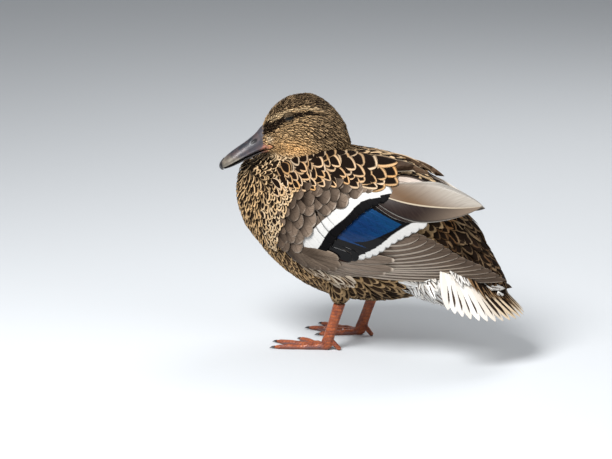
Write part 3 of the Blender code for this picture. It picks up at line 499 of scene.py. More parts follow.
class Finish:
    """One material: its shader, and the nodes that feed it."""

    def __init__(self, name, **plain):
        self.material = bpy.data.materials.new(name)
        self.material.use_nodes = True
        self.tree = self.material.node_tree
        self.shader = self.tree.nodes["Principled BSDF"]
        for socket, value in plain.items():
            self.shader.inputs[socket.replace("_", " ")].default_value = value

    def node(self, kind, settings=None, sockets=None, output=0):
        """Any node: its settings are set first, then its sockets get values or links."""
        made = self.tree.nodes.new(kind)
        for name, value in (settings or {}).items():
            setattr(made, name, value)
        for key, value in (sockets or {}).items():
            self.feed(made.inputs[key], value)
        return Socket(self, made.outputs[output])

    def feed(self, socket, value):
        if isinstance(value, Socket):
            self.tree.links.new(value.output, socket)
        elif isinstance(value, tuple) and len(value) == 3 and socket.type == "RGBA":
            socket.default_value = (*value, 1.0)
        else:
            socket.default_value = value

    def shade(self, **sockets):
        """Feeds the shader's own sockets, named with underscores for spaces."""
        for name, value in sockets.items():
            self.feed(self.shader.inputs[name.replace("_", " ")], value)
        return self.material

    def attribute(self, name):
        """Three values or a colour kept on the mesh's points."""
        return self.node("ShaderNodeAttribute", {"attribute_name": name})

    def measure(self, name):
        """One number kept on the mesh's points."""
        return self.node("ShaderNodeAttribute", {"attribute_name": name}, output=2)

    def parts(self, vector):
        made = self.node("ShaderNodeSeparateXYZ", sockets={"Vector": vector})
        outputs = made.output.node.outputs
        return [Socket(self, outputs[k]) for k in range(3)]

    def mix(self, share, a, b, way="MIX"):
        """Colour a to b by share."""
        settings = {"data_type": "RGBA", "blend_type": way}
        return self.node("ShaderNodeMix", settings, {0: share, 6: a, 7: b}, output=2)

    def darkened(self, share, colour, by):
        """The colour, multiplied by another where share says."""
        return self.mix(share, colour, self.mix(1.0, colour, by, "MULTIPLY"))

    def noise(self, scale, detail=3.0, place=None):
        sockets = {"Scale": scale, "Detail": detail, "Roughness": NOISE_ROUGHNESS}
        sockets["Vector"] = place or self.place()
        return self.node("ShaderNodeTexNoise", None, sockets)

    def vector(self, x=0.0, y=0.0, z=0.0):
        return self.node("ShaderNodeCombineXYZ", None, {"X": x, "Y": y, "Z": z})

    def place(self):
        return self.node("ShaderNodeTexCoord", output=3)

    def bands(self, along, scale=1.0, **more):
        """Soft dark and light stripes across a direction."""
        sockets = {"Vector": self.vector(along), "Scale": scale, **more}
        return self.node("ShaderNodeTexWave", {"bands_direction": "X"}, sockets, output=1)

    def bump(self, height, strength, distance):
        sockets = {"Height": height, "Strength": strength, "Distance": distance}
        return self.node("ShaderNodeBump", None, sockets)


BAKE_MAP = "OFBake"
MAP_MARGIN = 0.02
HEAD_AXIS, TRUNK_AXIS = 0.222, 0.125  # heights of the line that the skin is unwrapped round


def store(mesh, name, values, kind="FLOAT_VECTOR"):
    """Keeps values on the mesh's points under a name that materials read."""
    layer = mesh.attributes.new(name, kind, "POINT")
    values = np.ascontiguousarray(values, np.float32)
    layer.data.foreach_set("vector" if kind == "FLOAT_VECTOR" else "value", values.ravel())


def unwrapped(points):
    """Place of a point on an unwrap of the skin: along the bird from bill to tail, and round it."""
    points = np.asarray(points)
    length = box_high.y - box_low.y
    along = (points[..., 1] - box_low.y) / length
    axis = np.where(head_share(points) > 0.5, HEAD_AXIS, TRUNK_AXIS)
    round_it = np.arctan2(points[..., 0], points[..., 2] - axis) / (2 * math.pi) + 0.5
    return MAP_MARGIN + (1 - 2 * MAP_MARGIN) * np.stack([round_it, along], -1)


def skin_mesh():
    """The form drawn in by the depth of the coat, less on the face than on the body."""
    mesh = form_mesh.copy()
    places = body_form.places
    _, outward = body_form.at(places)
    face = head_share(places) * step_up(-30.0, 20.0, from_head(places)[:, 0])
    depth = COAT_DEPTH + (FACE_DEPTH - COAT_DEPTH) * face
    places = places - outward * depth[:, None]
    mesh.vertices.foreach_set("co", places.ravel())
    mesh.update()
    ground, mark, width = markings(places)
    store(mesh, "ground", mixed_values(ground, mark, np.clip(width, 0, 1) * 0.8) * SKIN_TONE)
    layer = mesh.uv_layers.new(name=BAKE_MAP)
    corners = np.empty(len(mesh.loops), int)
    mesh.loops.foreach_get("vertex_index", corners)
    layer.data.foreach_set("uv", unwrapped(places)[corners].astype(np.float32).ravel())
    mesh.shade_smooth()
    return mesh


def skin_finish():
    """Skin mottled by the shadows between feathers."""
    finish = Finish("downy_skin", Roughness=0.85, Specular_IOR_Level=0.1)
    mottle = finish.noise(420.0, 3.0)
    shaded = finish.mix(mottle.eased(0.35, 0.65), (0.03, 0.02, 0.014), finish.attribute("ground"))
    return finish.shade(Base_Color=shaded, Normal=finish.bump(finish.noise(900.0, 2.0), 0.6, 0.0006))


def dressed(name, mesh, material, slot, nodes=()):
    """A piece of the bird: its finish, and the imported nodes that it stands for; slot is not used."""
    mesh.materials.append(material)
    piece = new_piece(name, mesh)
    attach(piece, "root")
    if nodes:
        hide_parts(*nodes)


dressed("skin", skin_mesh(), skin_finish(), "plumage_over_flesh", FLESH)

# ---------------------------------------------------------------- the lie of the coat
# Contour feathers point from the bill towards the tail, run down the nape and the breast, and turn
# back again under the belly.  The lie is set at a few places and blended between them.

LIE_REACH = 24.0 * MM


def lie_table():
    """(place, direction) pairs; both sides of the bird come from one."""
    table = []
    body = [
        ((0, -112, 150), (0, 0.1, -1)),
        ((0, -97, 178), (0, -0.5, -0.85)),
        ((0, -90, 101), (0, 0.75, -0.65)),
        ((0, -40, 63), (0, 1, -0.15)),
        ((0, 30, 49), (0, 1, 0)),
        ((0, 100, 66), (0, 1, 0.05)),
        ((0, 150, 60), (0, 0.8, -0.6)),
        ((55, 0, 110), (0, 1, -0.22)),
        ((50, 60, 90), (0, 1, -0.1)),
        ((36, 84, 76), (0, 0.72, -0.7)),
        ((30, 110, 74), (0, 0.7, -0.72)),
        ((22, 140, 66), (0, 0.75, -0.66)),
        ((50, -60, 150), (0, 0.8, -0.6)),
        ((40, -90, 140), (0, 0.25, -0.95)),
        ((42, -78, 112), (0, 0.65, -0.75)),
        ((0, -5, 200), (0, 1, 0)),
        ((35, -30, 185), (0.25, 0.95, -0.3)),
        ((0, 80, 185), (0, 0.95, -0.3)),
        ((0, 130, 140), (0, 0.75, -0.65)),
        ((0, 160, 95), (0, 0.7, -0.7)),
        ((0, 3, 206), (0, 0.4, -0.9)),
        ((29, -31, 199), (0, 0.5, -0.85)),
        ((0, -67, 196), (0, -0.35, -0.93)),
        ((31, 8, 62), (0, 0.25, -0.97)),
        ((33, 22, 50), (0, 0.2, -0.98)),
    ]
    for (x, *place), (out, *way) in body:
        for side in (1, -1) if x or out else (1,):
            table.append((spot(x * side, *place), (out * side, *way)))
    head = [
        ((36, 0, 14), (-0.7, 0, 0.7)),
        ((20, 0, 31), (-0.9, 0, 0.4)),
        ((0, 0, 36), (-1, 0, 0)),
        ((-22, 0, 27), (-0.85, 0, -0.5)),
        ((-38, 0, 8), (-0.3, 0, -0.95)),
        ((-41, 0, -12), (-0.1, 0, -1)),
        ((15, 23, -4), (-1, 0, -0.12)),
        ((15, 20, 17), (-0.95, 0.1, 0.25)),
        ((28, 19, 6), (-0.9, 0.2, 0.38)),
        ((38, 12, 0), (-0.85, 0.4, 0.3)),
        ((38, 11, -12), (-1, 0.2, -0.1)),
        ((0, 25, 16), (-1, 0, 0.0)),
        ((-15, 26, -4), (-1, 0, -0.25)),
        ((-28, 20, 4), (-0.9, 0, -0.4)),
        ((-30, 20, -18), (-0.7, 0, -0.7)),
        ((5, 22, -22), (-0.95, 0, -0.3)),
        ((30, 0, -25), (-1, 0, -0.1)),
        ((0, 0, -30), (-0.85, 0, -0.5)),
    ]
    for (forward, across, up), (ahead, out, rise) in head:
        for side in (1, -1) if across or out else (1,):
            table.append((head_spot(forward, across * side, up), head_way(ahead, out * side, rise)))
    places, ways = zip(*table)
    return np.array(places), unit(np.array(ways))


LIE_PLACES, LIE_WAYS = lie_table()


def lie_at(points):
    """Direction in which feathers point, before it is laid along the surface."""
    away = np.linalg.norm(points[:, None] - LIE_PLACES[None], axis=-1)
    weight = np.exp(-((away / LIE_REACH) ** 2)) + 1e-4 / (1e-3 + away)
    return unit((weight[..., None] * LIE_WAYS[None]).sum(1))


# ---------------------------------------------------------------- how one feather is made
# A vane is a thin closed blade, bowed across and rounded or pointed at its tip.  Its root lies
# deep, its tip rises over the next ones, and it follows the surface that it lies on.


def vane_faces(rows, columns):
    """Triangles of one vane: rows of points from the root on, then one point at the tip."""
    across = columns + 1
    tip = rows * across
    faces = []
    for row in range(rows - 1):
        start, after = row * across, (row + 1) * across
        for k in range(columns):
            a, b = start + k, after + k
            faces += [(a, b, b + 1), (a, b + 1, a + 1)]
        faces += [(start, start + columns, after + columns), (start, after + columns, after)]
    last = (rows - 1) * across
    faces += [(last + k, tip, last + k + 1) for k in range(columns)]
    faces.append((last, last + columns, tip))
    faces += [(0, k, k + 1) for k in range(1, columns)]
    return np.array(faces)


WIDENS_TO, NARROWS_FROM = 0.55, 0.45  # shares of a vane's length
ROWS_CROWD = 1.35


def vane_outline(along, blunt, stem, taper):
    """Half width, as a share, at each place from root (0) to tip (1)."""
    base = stem + (1 - stem) * np.sin(np.minimum(along / WIDENS_TO, 1.0) * math.pi / 2)
    end = np.clip((along - NARROWS_FROM) / (1 - NARROWS_FROM), 0, 1)
    return base * np.maximum(1 - end**blunt, 0) ** taper


def vane_rows(rows):
    """Places along the vane, closer together towards the tip."""
    share = np.arange(rows) / rows
    return 1 - (1 - share) ** ROWS_CROWD


def vane_mesh(name, points, tips, rows, columns, kept, uv, patch_size=0.003, mirrored=False):
    """One mesh of many vanes.

    points: vane, row, column; tips: vane.  kept: names to one value for each vane.  uv: the middle
    of each vane's patch."""
    count = len(points)
    grid = points.reshape(count, -1, 3)
    places = np.concatenate([grid, tips[:, None]], 1)
    each = places.shape[1]
    one = vane_faces(rows, columns)
    if mirrored:
        one = one[:, ::-1]
    faces = (one[None] + np.arange(count)[:, None, None] * each).reshape(-1, 3)
    mesh = bpy.data.meshes.new(name)
    mesh.vertices.add(count * each)
    mesh.vertices.foreach_set("co", places.astype(np.float32).ravel())
    mesh.loops.add(len(faces) * 3)
    mesh.loops.foreach_set("vertex_index", faces.ravel().astype(np.int32))
    mesh.polygons.add(len(faces))
    mesh.polygons.foreach_set("loop_start", np.arange(0, len(faces) * 3, 3, dtype=np.int32))
    mesh.update(calc_edges=True)
    along = np.append(np.repeat(vane_rows(rows), columns + 1), 1.0)
    aside = np.append(np.tile(np.linspace(-1, 1, columns + 1), rows), 0.0)
    local = np.stack([along, aside], -1)
    vane = np.empty((count, each, 3))
    vane[..., :2] = local
    vane[..., 2] = kept.pop("chance")[:, None]
    store(mesh, "vane", vane)
    for key, values in kept.items():
        kind = "FLOAT_VECTOR" if values.ndim == 2 else "FLOAT"
        store(mesh, key, np.repeat(values, each, axis=0), kind)
    patch = uv[:, None] + patch_size * (local[None, :, ::-1] * (0.5, 1.0) - (0.0, 0.5))
    layer = mesh.uv_layers.new(name=BAKE_MAP)
    layer.data.foreach_set("uv", patch.reshape(-1, 2)[faces.ravel()].astype(np.float32).ravel())
    mesh.shade_smooth()
    return mesh


def laid_vanes(roots, ways, length, width, sink, rise, bow, shape, rows, columns, sweep):
    """Vane points on the bird: each walks from its root along the lie, hugging the surface."""
    count = len(roots)
    shares = vane_rows(rows)
    place, normal = body_form.settled(roots)
    way = unit(ways - normal * (ways * normal).sum(-1, keepdims=True))
    places, normals, headings = [], [], []
    before = 0.0
    for share in [*shares, 1.0]:
        place = place + way * (length * (share - before))[:, None]
        distance, normal = body_form.at(place)
        place = place - normal * distance[:, None]
        turned = way + np.cross(normal, way) * (sweep * (share - before))[:, None]
        way = unit(turned - normal * (turned * normal).sum(-1, keepdims=True))
        places.append(place)
        normals.append(normal)
        headings.append(way)
        before = share
    places, normals, headings = (np.stack(v, 1) for v in (places, normals, headings))
    side = np.cross(normals, headings)
    outline = vane_outline(shares, *shape)
    aside = np.linspace(-1, 1, columns + 1)
    half = (width / 2)[:, None] * outline
    grid = places[:, :-1, None] + side[:, :-1, None] * (half[..., None] * aside)[..., None]
    distance, outward = body_form.at(grid)
    lift = -sink[:, None] + (sink + rise)[:, None] * shares
    dome = bow[:, None, None] * outline[None, :, None] * (1 - aside**2)
    grid = grid + outward * (lift[..., None] + dome - distance)[..., None]
    tips = places[:, -1] + normals[:, -1] * rise[:, None]
    return grid.reshape(count, rows, columns + 1, 3), tips


CROWD = 9  # places tried for each feather, or about that
THINNEST_MIDDLE = 0.02


def scattered(spacing_at, seed, wanted):
    """Roots spread evenly over the form, as far apart as spacing_at says; wanted says where."""
    draw = np.random.default_rng(seed)
    corners = body_form.places[body_form.triangles]
    corners = corners[wanted(corners.mean(1))]
    sides = corners[:, 1] - corners[:, 0], corners[:, 2] - corners[:, 0]
    area = np.linalg.norm(np.cross(*sides), axis=-1) / 2
    load = area / spacing_at(corners.mean(1)) ** 2
    number = int(CROWD * load.sum())
    chosen = draw.choice(len(corners), number, p=load / load.sum())
    a, b = draw.random((2, number, 1))
    over = a + b > 1
    a, b = np.where(over, 1 - a, a), np.where(over, 1 - b, b)
    picked = corners[chosen]
    places = picked[:, 0] + a * (picked[:, 1] - picked[:, 0]) + b * (picked[:, 2] - picked[:, 0])
    spacing = spacing_at(places)
    tree = KDTree(number)
    for k, place in enumerate(places):
        tree.insert(place, k)
    tree.balance()
    alive = np.ones(number, bool)
    kept = []
    for k in range(number):
        if alive[k]:
            kept.append(k)
            for _, other, _ in tree.find_range(places[k], spacing[k]):
                alive[other] = False
    return places[kept]


MARGIN_GLOW = (0.60, 0.43, 0.25)
BARB_SHADOW = (0.008, 0.005, 0.004)


def feather_finish(name, ragged=0.9, lean=0.6):
    """Feathers of the head and body: a dark middle on each, a paler margin, and fine barbs."""
    finish = Finish(name, Roughness=0.62, Specular_IOR_Level=0.02)
    along, aside, chance = finish.parts(finish.attribute("vane"))
    ground, mark = finish.attribute("ground"), finish.attribute("mark")
    width, start, end = finish.parts(finish.attribute("form"))
    wobble = finish.noise(380.0, 2.0) - 0.5
    middle, reach = (start + end) * 0.5, (end - start) * 0.5
    lengthwise = abs((along - middle) / reach) ** 3.0
    off_centre = (chance.scrambled(13.7) - 0.5) * lean
    sideways = (abs(aside + off_centre) / width) ** 2.0
    dark = (lengthwise + sideways + wobble * ragged).eased(1.25, 0.75)
    lighter = finish.mix(chance.scrambled(7.3), ground, MARGIN_GLOW)
    colour = finish.mix(dark, finish.mix(0.25, ground, lighter), mark)
    barbs = finish.bands(along * 3.0 + abs(aside) * 1.2, 4.0)
    shade = finish.mix(barbs * 0.22, colour, BARB_SHADOW)
    return finish.shade(Base_Color=shade, Normal=finish.bump(barbs, 0.25, 0.0002))


UNEVEN = {  # how much one feather differs from the next
    "length": 0.10,
    "width": 0.07,
    "rise": 0.25,
    "way": 0.09,
    "sweep": 0.22,
    "ground": 0.16,
    "middle": 0.14,
    "end": 0.05,
    "mark": 0.2,
}


def coat(name, roots, sizes, material, seed, rows=6, columns=4, nodes=()):
    """Lays one region's feathers over the bird.  Sizes are in millimetres, one for all or one each."""
    draw = np.random.default_rng(seed)
    count = len(roots)

    def chance(what, *columns):
        return UNEVEN[what] * draw.standard_normal((count, *columns))

    level = np.zeros(count)
    length = sizes["length"] * MM * (1 + chance("length"))
    width = sizes["width"] * MM * (1 + chance("width"))
    rise = sizes["rise"] * MM * (1 + chance("rise"))
    sink, bow = sizes["sink"] * MM + level, sizes["bow"] * MM + level
    ways = lie_at(roots) + chance("way", 3) - (0.0, 0.0, sizes.get("droop", 0.0))
    sweep = chance("sweep")
    grid, tips = laid_vanes(
        roots, ways, length, width, sink, rise, bow, sizes["shape"], rows, columns, sweep,
    )
    ground, mark, share = markings(roots)
    ground = ground * np.exp(chance("ground", 1))
    share = np.maximum(share * (1 + chance("middle")), THINNEST_MIDDLE)
    start = sizes.get("start", 0.0) + level
    end = sizes["end"] + chance("end")
    kept = {
        "chance": draw.random(count),
        "ground": ground,
        "mark": mark * np.exp(chance("mark", 1)),
        "form": np.stack([share, start, end], -1),
    }
    mesh = vane_mesh(name, grid, tips, rows, columns, kept, unwrapped(roots))
    dressed(name, mesh, material, "plumage_over_flesh", nodes)


# ---------------------------------------------------------------- head and neck feathers
# Over two thousand tiny feathers cover the head, each a dark streak edged with buff.  They are
# smallest at the bill and grow towards the nape.

contour_finish = feather_finish("contour_feathers")


def on_head(points):
    """True on the head, apart from the eyes' openings and the corners of the mouth."""
    forward, across, up = from_head(points).T
    eye = ((forward - 17.5) / 7.2) ** 2 + ((up - 15.4) / 4.4) ** 2 < 1
    gape = ((forward - 38.0) / 6.5) ** 2 + ((up + 16.0) / 3.0) ** 2 < 1
    outside_bill = (forward < 43.0) | (up < -19.0)
    return (head_share(points) > 0.5) & outside_bill & ~((eye | gape) & (np.abs(across) > 5.0))


def face(points):
    """0 at the back of the head, 1 at the bill."""
    return step_up(-35.0, 38.0, from_head(points)[:, 0])


def head_spacing(points):
    return (2.2 - 0.8 * face(points)) * MM


def head_sizes(points):
    small = face(points)
    return {
        "length": 9.5 - 4.8 * small,
        "width": 3.2 - 1.3 * small,
        "sink": 1.7 - 0.7 * small,
        "rise": 0.75 - 0.25 * small,
        "bow": 0.45 - 0.15 * small,
        "end": 0.93,
        "shape": (2.2, 0.35, 0.55),
    }


head_roots = scattered(head_spacing, 11, on_head)
coat("head_feathers", head_roots, head_sizes(head_roots), contour_finish, 12, rows=4, columns=2)

# ---------------------------------------------------------------- breast, back and belly feathers
# Rounded contour feathers in overlapping rows, dark in the middle and buff at the edge.  Those of
# the breast are small and spotted, those of the back broad and dark.


def on_thigh(points):
    """1 on the short feathers that end at the bare legs."""
    return step_up(72.0, 58.0, points[:, 2] / MM) * (np.abs(body_y(points) - 14.0) < 24.0)


def underneath(points):
    """1 on the finely mottled belly."""
    return step_up(98.0, 80.0, points[:, 2] / MM)


def grown(points):
    """0 on the neck and the breast's front, 1 on the back and flanks."""
    return step_up(-85.0, 30.0, body_y(points))


def on_body(points):
    return (head_share(points) <= 0.5) & ~under_tail(points) & ~on_rump(points)


def body_spacing(points):
    spacing = (3.2 + 3.9 * grown(points)) * (1 - 0.42 * on_thigh(points))
    return spacing * (1 - 0.22 * underneath(points)) * MM


def body_sizes(points):
    size = grown(points) * (1 - 0.9 * on_thigh(points)) * (1 - 0.45 * underneath(points))
    return {
        "length": 11.0 + 13.5 * size,
        "width": 5.0 + 7.8 * size,
        "sink": 2.8 + 0.3 * size,
        "rise": 0.5 + 0.2 * size,
        "bow": 0.8 + 0.4 * size,
        "end": 0.86 - 0.02 * size,
        "shape": (2.6, 0.35, 0.55),
    }


body_roots = scattered(body_spacing, 21, on_body)
coat("body_feathers", body_roots, body_sizes(body_roots), contour_finish, 22)

# ---------------------------------------------------------------- rump and under-tail feathers
# Above the tail's root the feathers are nearly black, edged with rust.  Below it they are long,
# white and pointed, each with a narrow brown streak.

REAR_SPACING = 5.6 * MM
RUMP_SIZES = {
    "length": 25.0,
    "width": 10.0,
    "sink": 3.0,
    "rise": 1.0,
    "bow": 0.9,
    "end": 0.93,
    "shape": (2.0, 0.35, 0.7),
}
UNDER_TAIL_SIZES = {
    "length": 34.0,
    "width": 9.0,
    "sink": 2.5,
    "rise": 2.4,
    "bow": 0.5,
    "droop": 0.45,
    "start": 0.45,
    "end": 0.93,
    "shape": (1.9, 0.35, 0.8),
}
streaked_finish = feather_finish("white_streaked_feathers", ragged=0.35, lean=0.3)


def rear_spacing(points):
    return np.full(len(points), REAR_SPACING)


coat("rump_feathers", scattered(rear_spacing, 23, on_rump), RUMP_SIZES, contour_finish, 24,
     nodes=["upper_tail_coverts"])
coat("under_tail_feathers", scattered(rear_spacing, 25, under_tail), UNDER_TAIL_SIZES, streaked_finish, 26,
     nodes=["under_tail_coverts"])

# ---------------------------------------------------------------- folded wings: sheet and rows
# Each folded wing lies as a smooth sheet over the flank.  Its feathers are laid on that sheet in
# rows that overlap like tiles: flight feathers lowest, then the bright bar, coverts and scapulars.
# A row is a table of arrays, one value for each feather.

# y, outermost x, its height, roundness below it, height where the sheet would meet the back.
WING_SHEET = [
    (-62.0, 50.0, 134.0, 58.0, 196.0),
    (-40.0, 59.0, 130.0, 66.0, 200.0),
    (0.0, 65.0, 127.0, 74.0, 203.0),
    (40.0, 64.5, 124.0, 76.0, 201.0),
    (80.0, 57.0, 121.0, 68.0, 189.0),
    (110.0, 45.5, 118.0, 62.0, 176.0),
    (140.0, 31.0, 112.0, 68.0, 165.0),
    (165.0, 20.5, 104.0, 90.0, 152.0),
    (190.0, 14.0, 96.0, 120.0, 138.0),
]
SHEET_FULLNESS = 2.1
HIGHEST_SHARE = 0.97
SHOULDER = (-40.0, 130.0)
WING_SAG = {"left": 0.0, "right": math.radians(4.0)}
SIDES = {"left": 1.0, "right": -1.0}


def smooth_run(rows, at):
    """Smooth curve through rows keyed by their first column, at an array of keys."""
    table = np.array(rows, float)
    key, values = table[:, 0], table[:, 1:]
    gap = np.diff(key)[:, None]
    slope = np.diff(values, axis=0) / gap
    tangent = np.zeros_like(values)
    level = (gap[:-1] * slope[1:] + gap[1:] * slope[:-1]) / (gap[:-1] + gap[1:])
    tangent[1:-1] = np.where(slope[:-1] * slope[1:] > 0, level, 0.0)
    tangent[0], tangent[-1] = slope[0], slope[-1]
    at = np.asarray(at, float)
    i = np.clip(np.searchsorted(key, at, side="right") - 1, 0, len(key) - 2)
    t = ((at - key[i]) / gap[i, 0])[..., None]
    start, end = tangent[i] * gap[i], tangent[i + 1] * gap[i]
    from_start = values[i] * (1 + 2 * t) * (1 - t) ** 2 + start * t * (1 - t) ** 2
    return from_start + values[i + 1] * t**2 * (3 - 2 * t) + end * t**2 * (t - 1)


def sheet_out(y, z):
    """How far out the wing sheet lies at that y and height."""
    out, height, roundness, top = np.moveaxis(smooth_run(WING_SHEET, y), -1, 0)
    below = out - (z - height) ** 2 / (2 * roundness)
    share = np.clip((z - height) / (top - height), 0, HIGHEST_SHARE)
    above = out * (1 - share**SHEET_FULLNESS) ** (1 / SHEET_FULLNESS)
    return np.where(z <= height, below, above)


def to_frame(x, y, z):
    """Frame points from arrays of the maker's millimetres."""
    return np.stack([x, y, z], -1) * MM + np.array((0.0, TO_FRAME_Y, 0.0))


def wing_spots(word, y, z, lift):
    """Frame points over one wing's sheet, lift millimetres outside it."""
    tilt = sheet_out(y, z - 0.5) - sheet_out(y, z + 0.5)
    flat = np.sqrt(1 + tilt**2)
    x, z = sheet_out(y, z) + lift / flat, z + lift * tilt / flat
    back, up = y - SHOULDER[0], z - SHOULDER[1]
    s, c = math.sin(WING_SAG[word]), math.cos(WING_SAG[word])
    return to_frame(SIDES[word] * x, SHOULDER[0] + back * c + up * s, SHOULDER[1] + up * c - back * s)


def along_line(points, count):
    """count places spaced evenly along a line of points."""
    points = np.array(points, float)
    if len(points) == 1:
        return np.repeat(points, count, 0)
    gone = np.concatenate([[0], np.cumsum(np.linalg.norm(np.diff(points, axis=0), axis=1))])
    return smooth_run(np.column_stack([gone, points]), np.linspace(0, gone[-1], count))


def spread(values, count):
    """A value for each of count feathers: one for all, or several set evenly along the row.

    A value may be a number, or a tuple such as a colour; several are given as a list."""
    several = values if isinstance(values, list) else [values, values]
    table = np.array(several, float).reshape(len(several), -1)
    at = np.linspace(0, 1, count)
    stops = np.linspace(0, 1, len(several))
    columns = np.stack([np.interp(at, stops, column) for column in table.T], -1)
    return columns[:, 0] if columns.shape[1] == 1 else columns


LAID = ("root", "tip", "width", "lift", "bend", "skew")  # what shapes a row; the rest is its looks
NEVER, FROM_ROOT = 2.0, -1.0  # shares where a band begins that a feather lacks, or that covers it
GREY_BROWN = (0.17, 0.13, 0.105)
PALE_RIM = (0.50, 0.42, 0.34)
PLAIN = {  # what a row has where nothing else is given
    "bend": 0.0,  # sideways bow of its shaft, in millimetres
    "skew": 0.0,  # how much wider its upper half is than its lower half
    "ground": GREY_BROWN,  # colour at its root
    "far": GREY_BROWN,  # colour at its tip
    "rim": PALE_RIM,
    "edges": (0.07, 0.07, 0.05),  # width of the rim on its lower side, its upper side and its tip
    "first": (NEVER, 0.0, 0.0),  # where its first band begins, and how much that border slants
    "second": (NEVER, 0.0, 0.0),
}


def row_of(roots, tips, count, width, lift, jitter=0.0, seed=0, **looks):
    """A row of feathers, with their roots and tips spaced along two lines."""
    row = {"root": along_line(roots, count), "tip": along_line(tips, count)}
    if jitter:
        draw = np.random.default_rng(seed)
        row["tip"] += jitter * draw.standard_normal((count, 2))
        row["root"] += jitter * draw.standard_normal((count, 2))
    row["width"] = spread(width, count)
    row["lift"] = spread(lift, count)
    for name, value in {**PLAIN, **looks}.items():
        row[name] = spread(value, count)
    return row


def side_by_side(*values):
    """Columns from values, each of them one for all feathers or one for each."""
    return np.stack(np.broadcast_arrays(*values), -1)


def heading(angle):
    """Direction over a sheet at an angle from its first axis."""
    return np.stack([np.cos(angle), np.sin(angle)], -1)


def marked_row(root, tip, width, lift, ground, mark, form, bend=0.0, skew=0.0):
    """A row of feathers with a dark middle on each.

    Root and tip are given for each feather; of the rest, each is one for all or one for each."""
    one, two, three = np.zeros(len(tip)), np.zeros((len(tip), 2)), np.zeros((len(tip), 3))
    return {
        "root": root,
        "tip": tip,
        "width": width + one,
        "lift": lift + two,
        "bend": bend + one,
        "skew": skew + one,
        "ground": ground + three,
        "mark": mark + three,
        "form": form + three,
    }


CROSSING_STOPS = 240
CROSSING_REACH = 4  # stops to each side of a crossing that its slant is measured over


def crossed(row, line):
    """Where a line over the sheet crosses each feather: the share from its root, and the slant."""
    way = row["tip"] - row["root"]
    length = np.linalg.norm(way, axis=-1)
    axis = way / length[:, None]
    across = np.stack([-axis[:, 1], axis[:, 0]], -1)
    dense = along_line(line, CROSSING_STOPS)
    away = dense[None] - row["root"][:, None]
    ahead, aside = (away * axis[:, None]).sum(-1), (away * across[:, None]).sum(-1)
    nearest = np.clip(np.abs(aside).argmin(1), CROSSING_REACH, CROSSING_STOPS - 1 - CROSSING_REACH)
    before, after = nearest - CROSSING_REACH, nearest + CROSSING_REACH
    pick = np.arange(len(row["root"]))
    rise = ahead[pick, after] - ahead[pick, before]
    over = aside[pick, after] - aside[pick, before]
    slant = rise / np.where(np.abs(over) < 1e-6, 1e-6, over) * row["width"] / (2 * length)
    return np.stack([ahead[pick, nearest] / length, np.clip(slant, -1, 1), 0 * length], -1)


def together(*rows):
    return {name: np.concatenate([row[name] for row in rows]) for name in rows[0]}


def laid_row(placed, row, rows, columns, shape, bow):
    """Vane points of a row of feathers laid down by placed(a, b, height)."""
    root, way = row["root"], row["tip"] - row["root"]
    length = np.linalg.norm(way, axis=-1)
    across = np.stack([-way[:, 1], way[:, 0]], -1) / length[:, None]
    shares = vane_rows(rows)
    outline = vane_outline(shares, *shape)
    aside = np.linspace(-1, 1, columns + 1)
    reach = aside + row["skew"][:, None] * np.abs(aside)
    half = (row["width"] / 2)[:, None, None] * outline[None, :, None] * reach[:, None]
    bend = row["bend"][:, None, None] * (4 * shares * (1 - shares))[None, :, None]
    off = half + bend
    flat = root[:, None, None] + way[:, None, None] * shares[None, :, None, None]
    flat = flat + across[:, None, None] * off[..., None]
    low, high = row["lift"][:, 0], row["lift"][:, 1]
    lift = low[:, None] + (high - low)[:, None] * shares
    dome = bow * row["width"][:, None, None] * outline[None, :, None] * (1 - aside**2)
    grid = placed(flat[..., 0], flat[..., 1], lift[..., None] + dome)
    tips = placed(row["tip"][:, 0], row["tip"][:, 1], high)
    return grid, tips


def row_piece(name, placed, row, material, slot, seed, nodes=(), rows=12, columns=6,
              shape=(2.6, 0.35, 0.55), bow=0.06, mirrored=False, uneven=0.08):
    """One piece from a row of feathers, with the values that its material reads."""
    draw = np.random.default_rng(seed)
    count = len(row["root"])
    grid, tips = laid_row(placed, row, rows, columns, shape, bow)
    tint = np.exp(uneven * draw.standard_normal((count, 1)))
    kept = {"chance": draw.random(count)}
    for key, value in row.items():
        if key not in LAID:
            kept[key] = value * tint if key in ("ground", "far") else value
    side = math.ceil(math.sqrt(count))
    cell = np.arange(count)
    uv = np.stack([(cell % side + 0.5) / side, (cell // side + 0.5) / side], -1)
    mesh = vane_mesh(name, grid, tips, rows, columns, kept, uv, 0.9 / side, mirrored)
    dressed(name, mesh, material, slot, nodes)


SOOT = (0.0035, 0.0032, 0.0035)
BAR_WHITE = (0.56, 0.55, 0.53)
SHAFT = (0.014, 0.010, 0.008)
BARB_STREAK = (0.40, 0.35, 0.32)
BARB_GAP = (0.3, 0.28, 0.27)
BAND_SOFT = 0.012


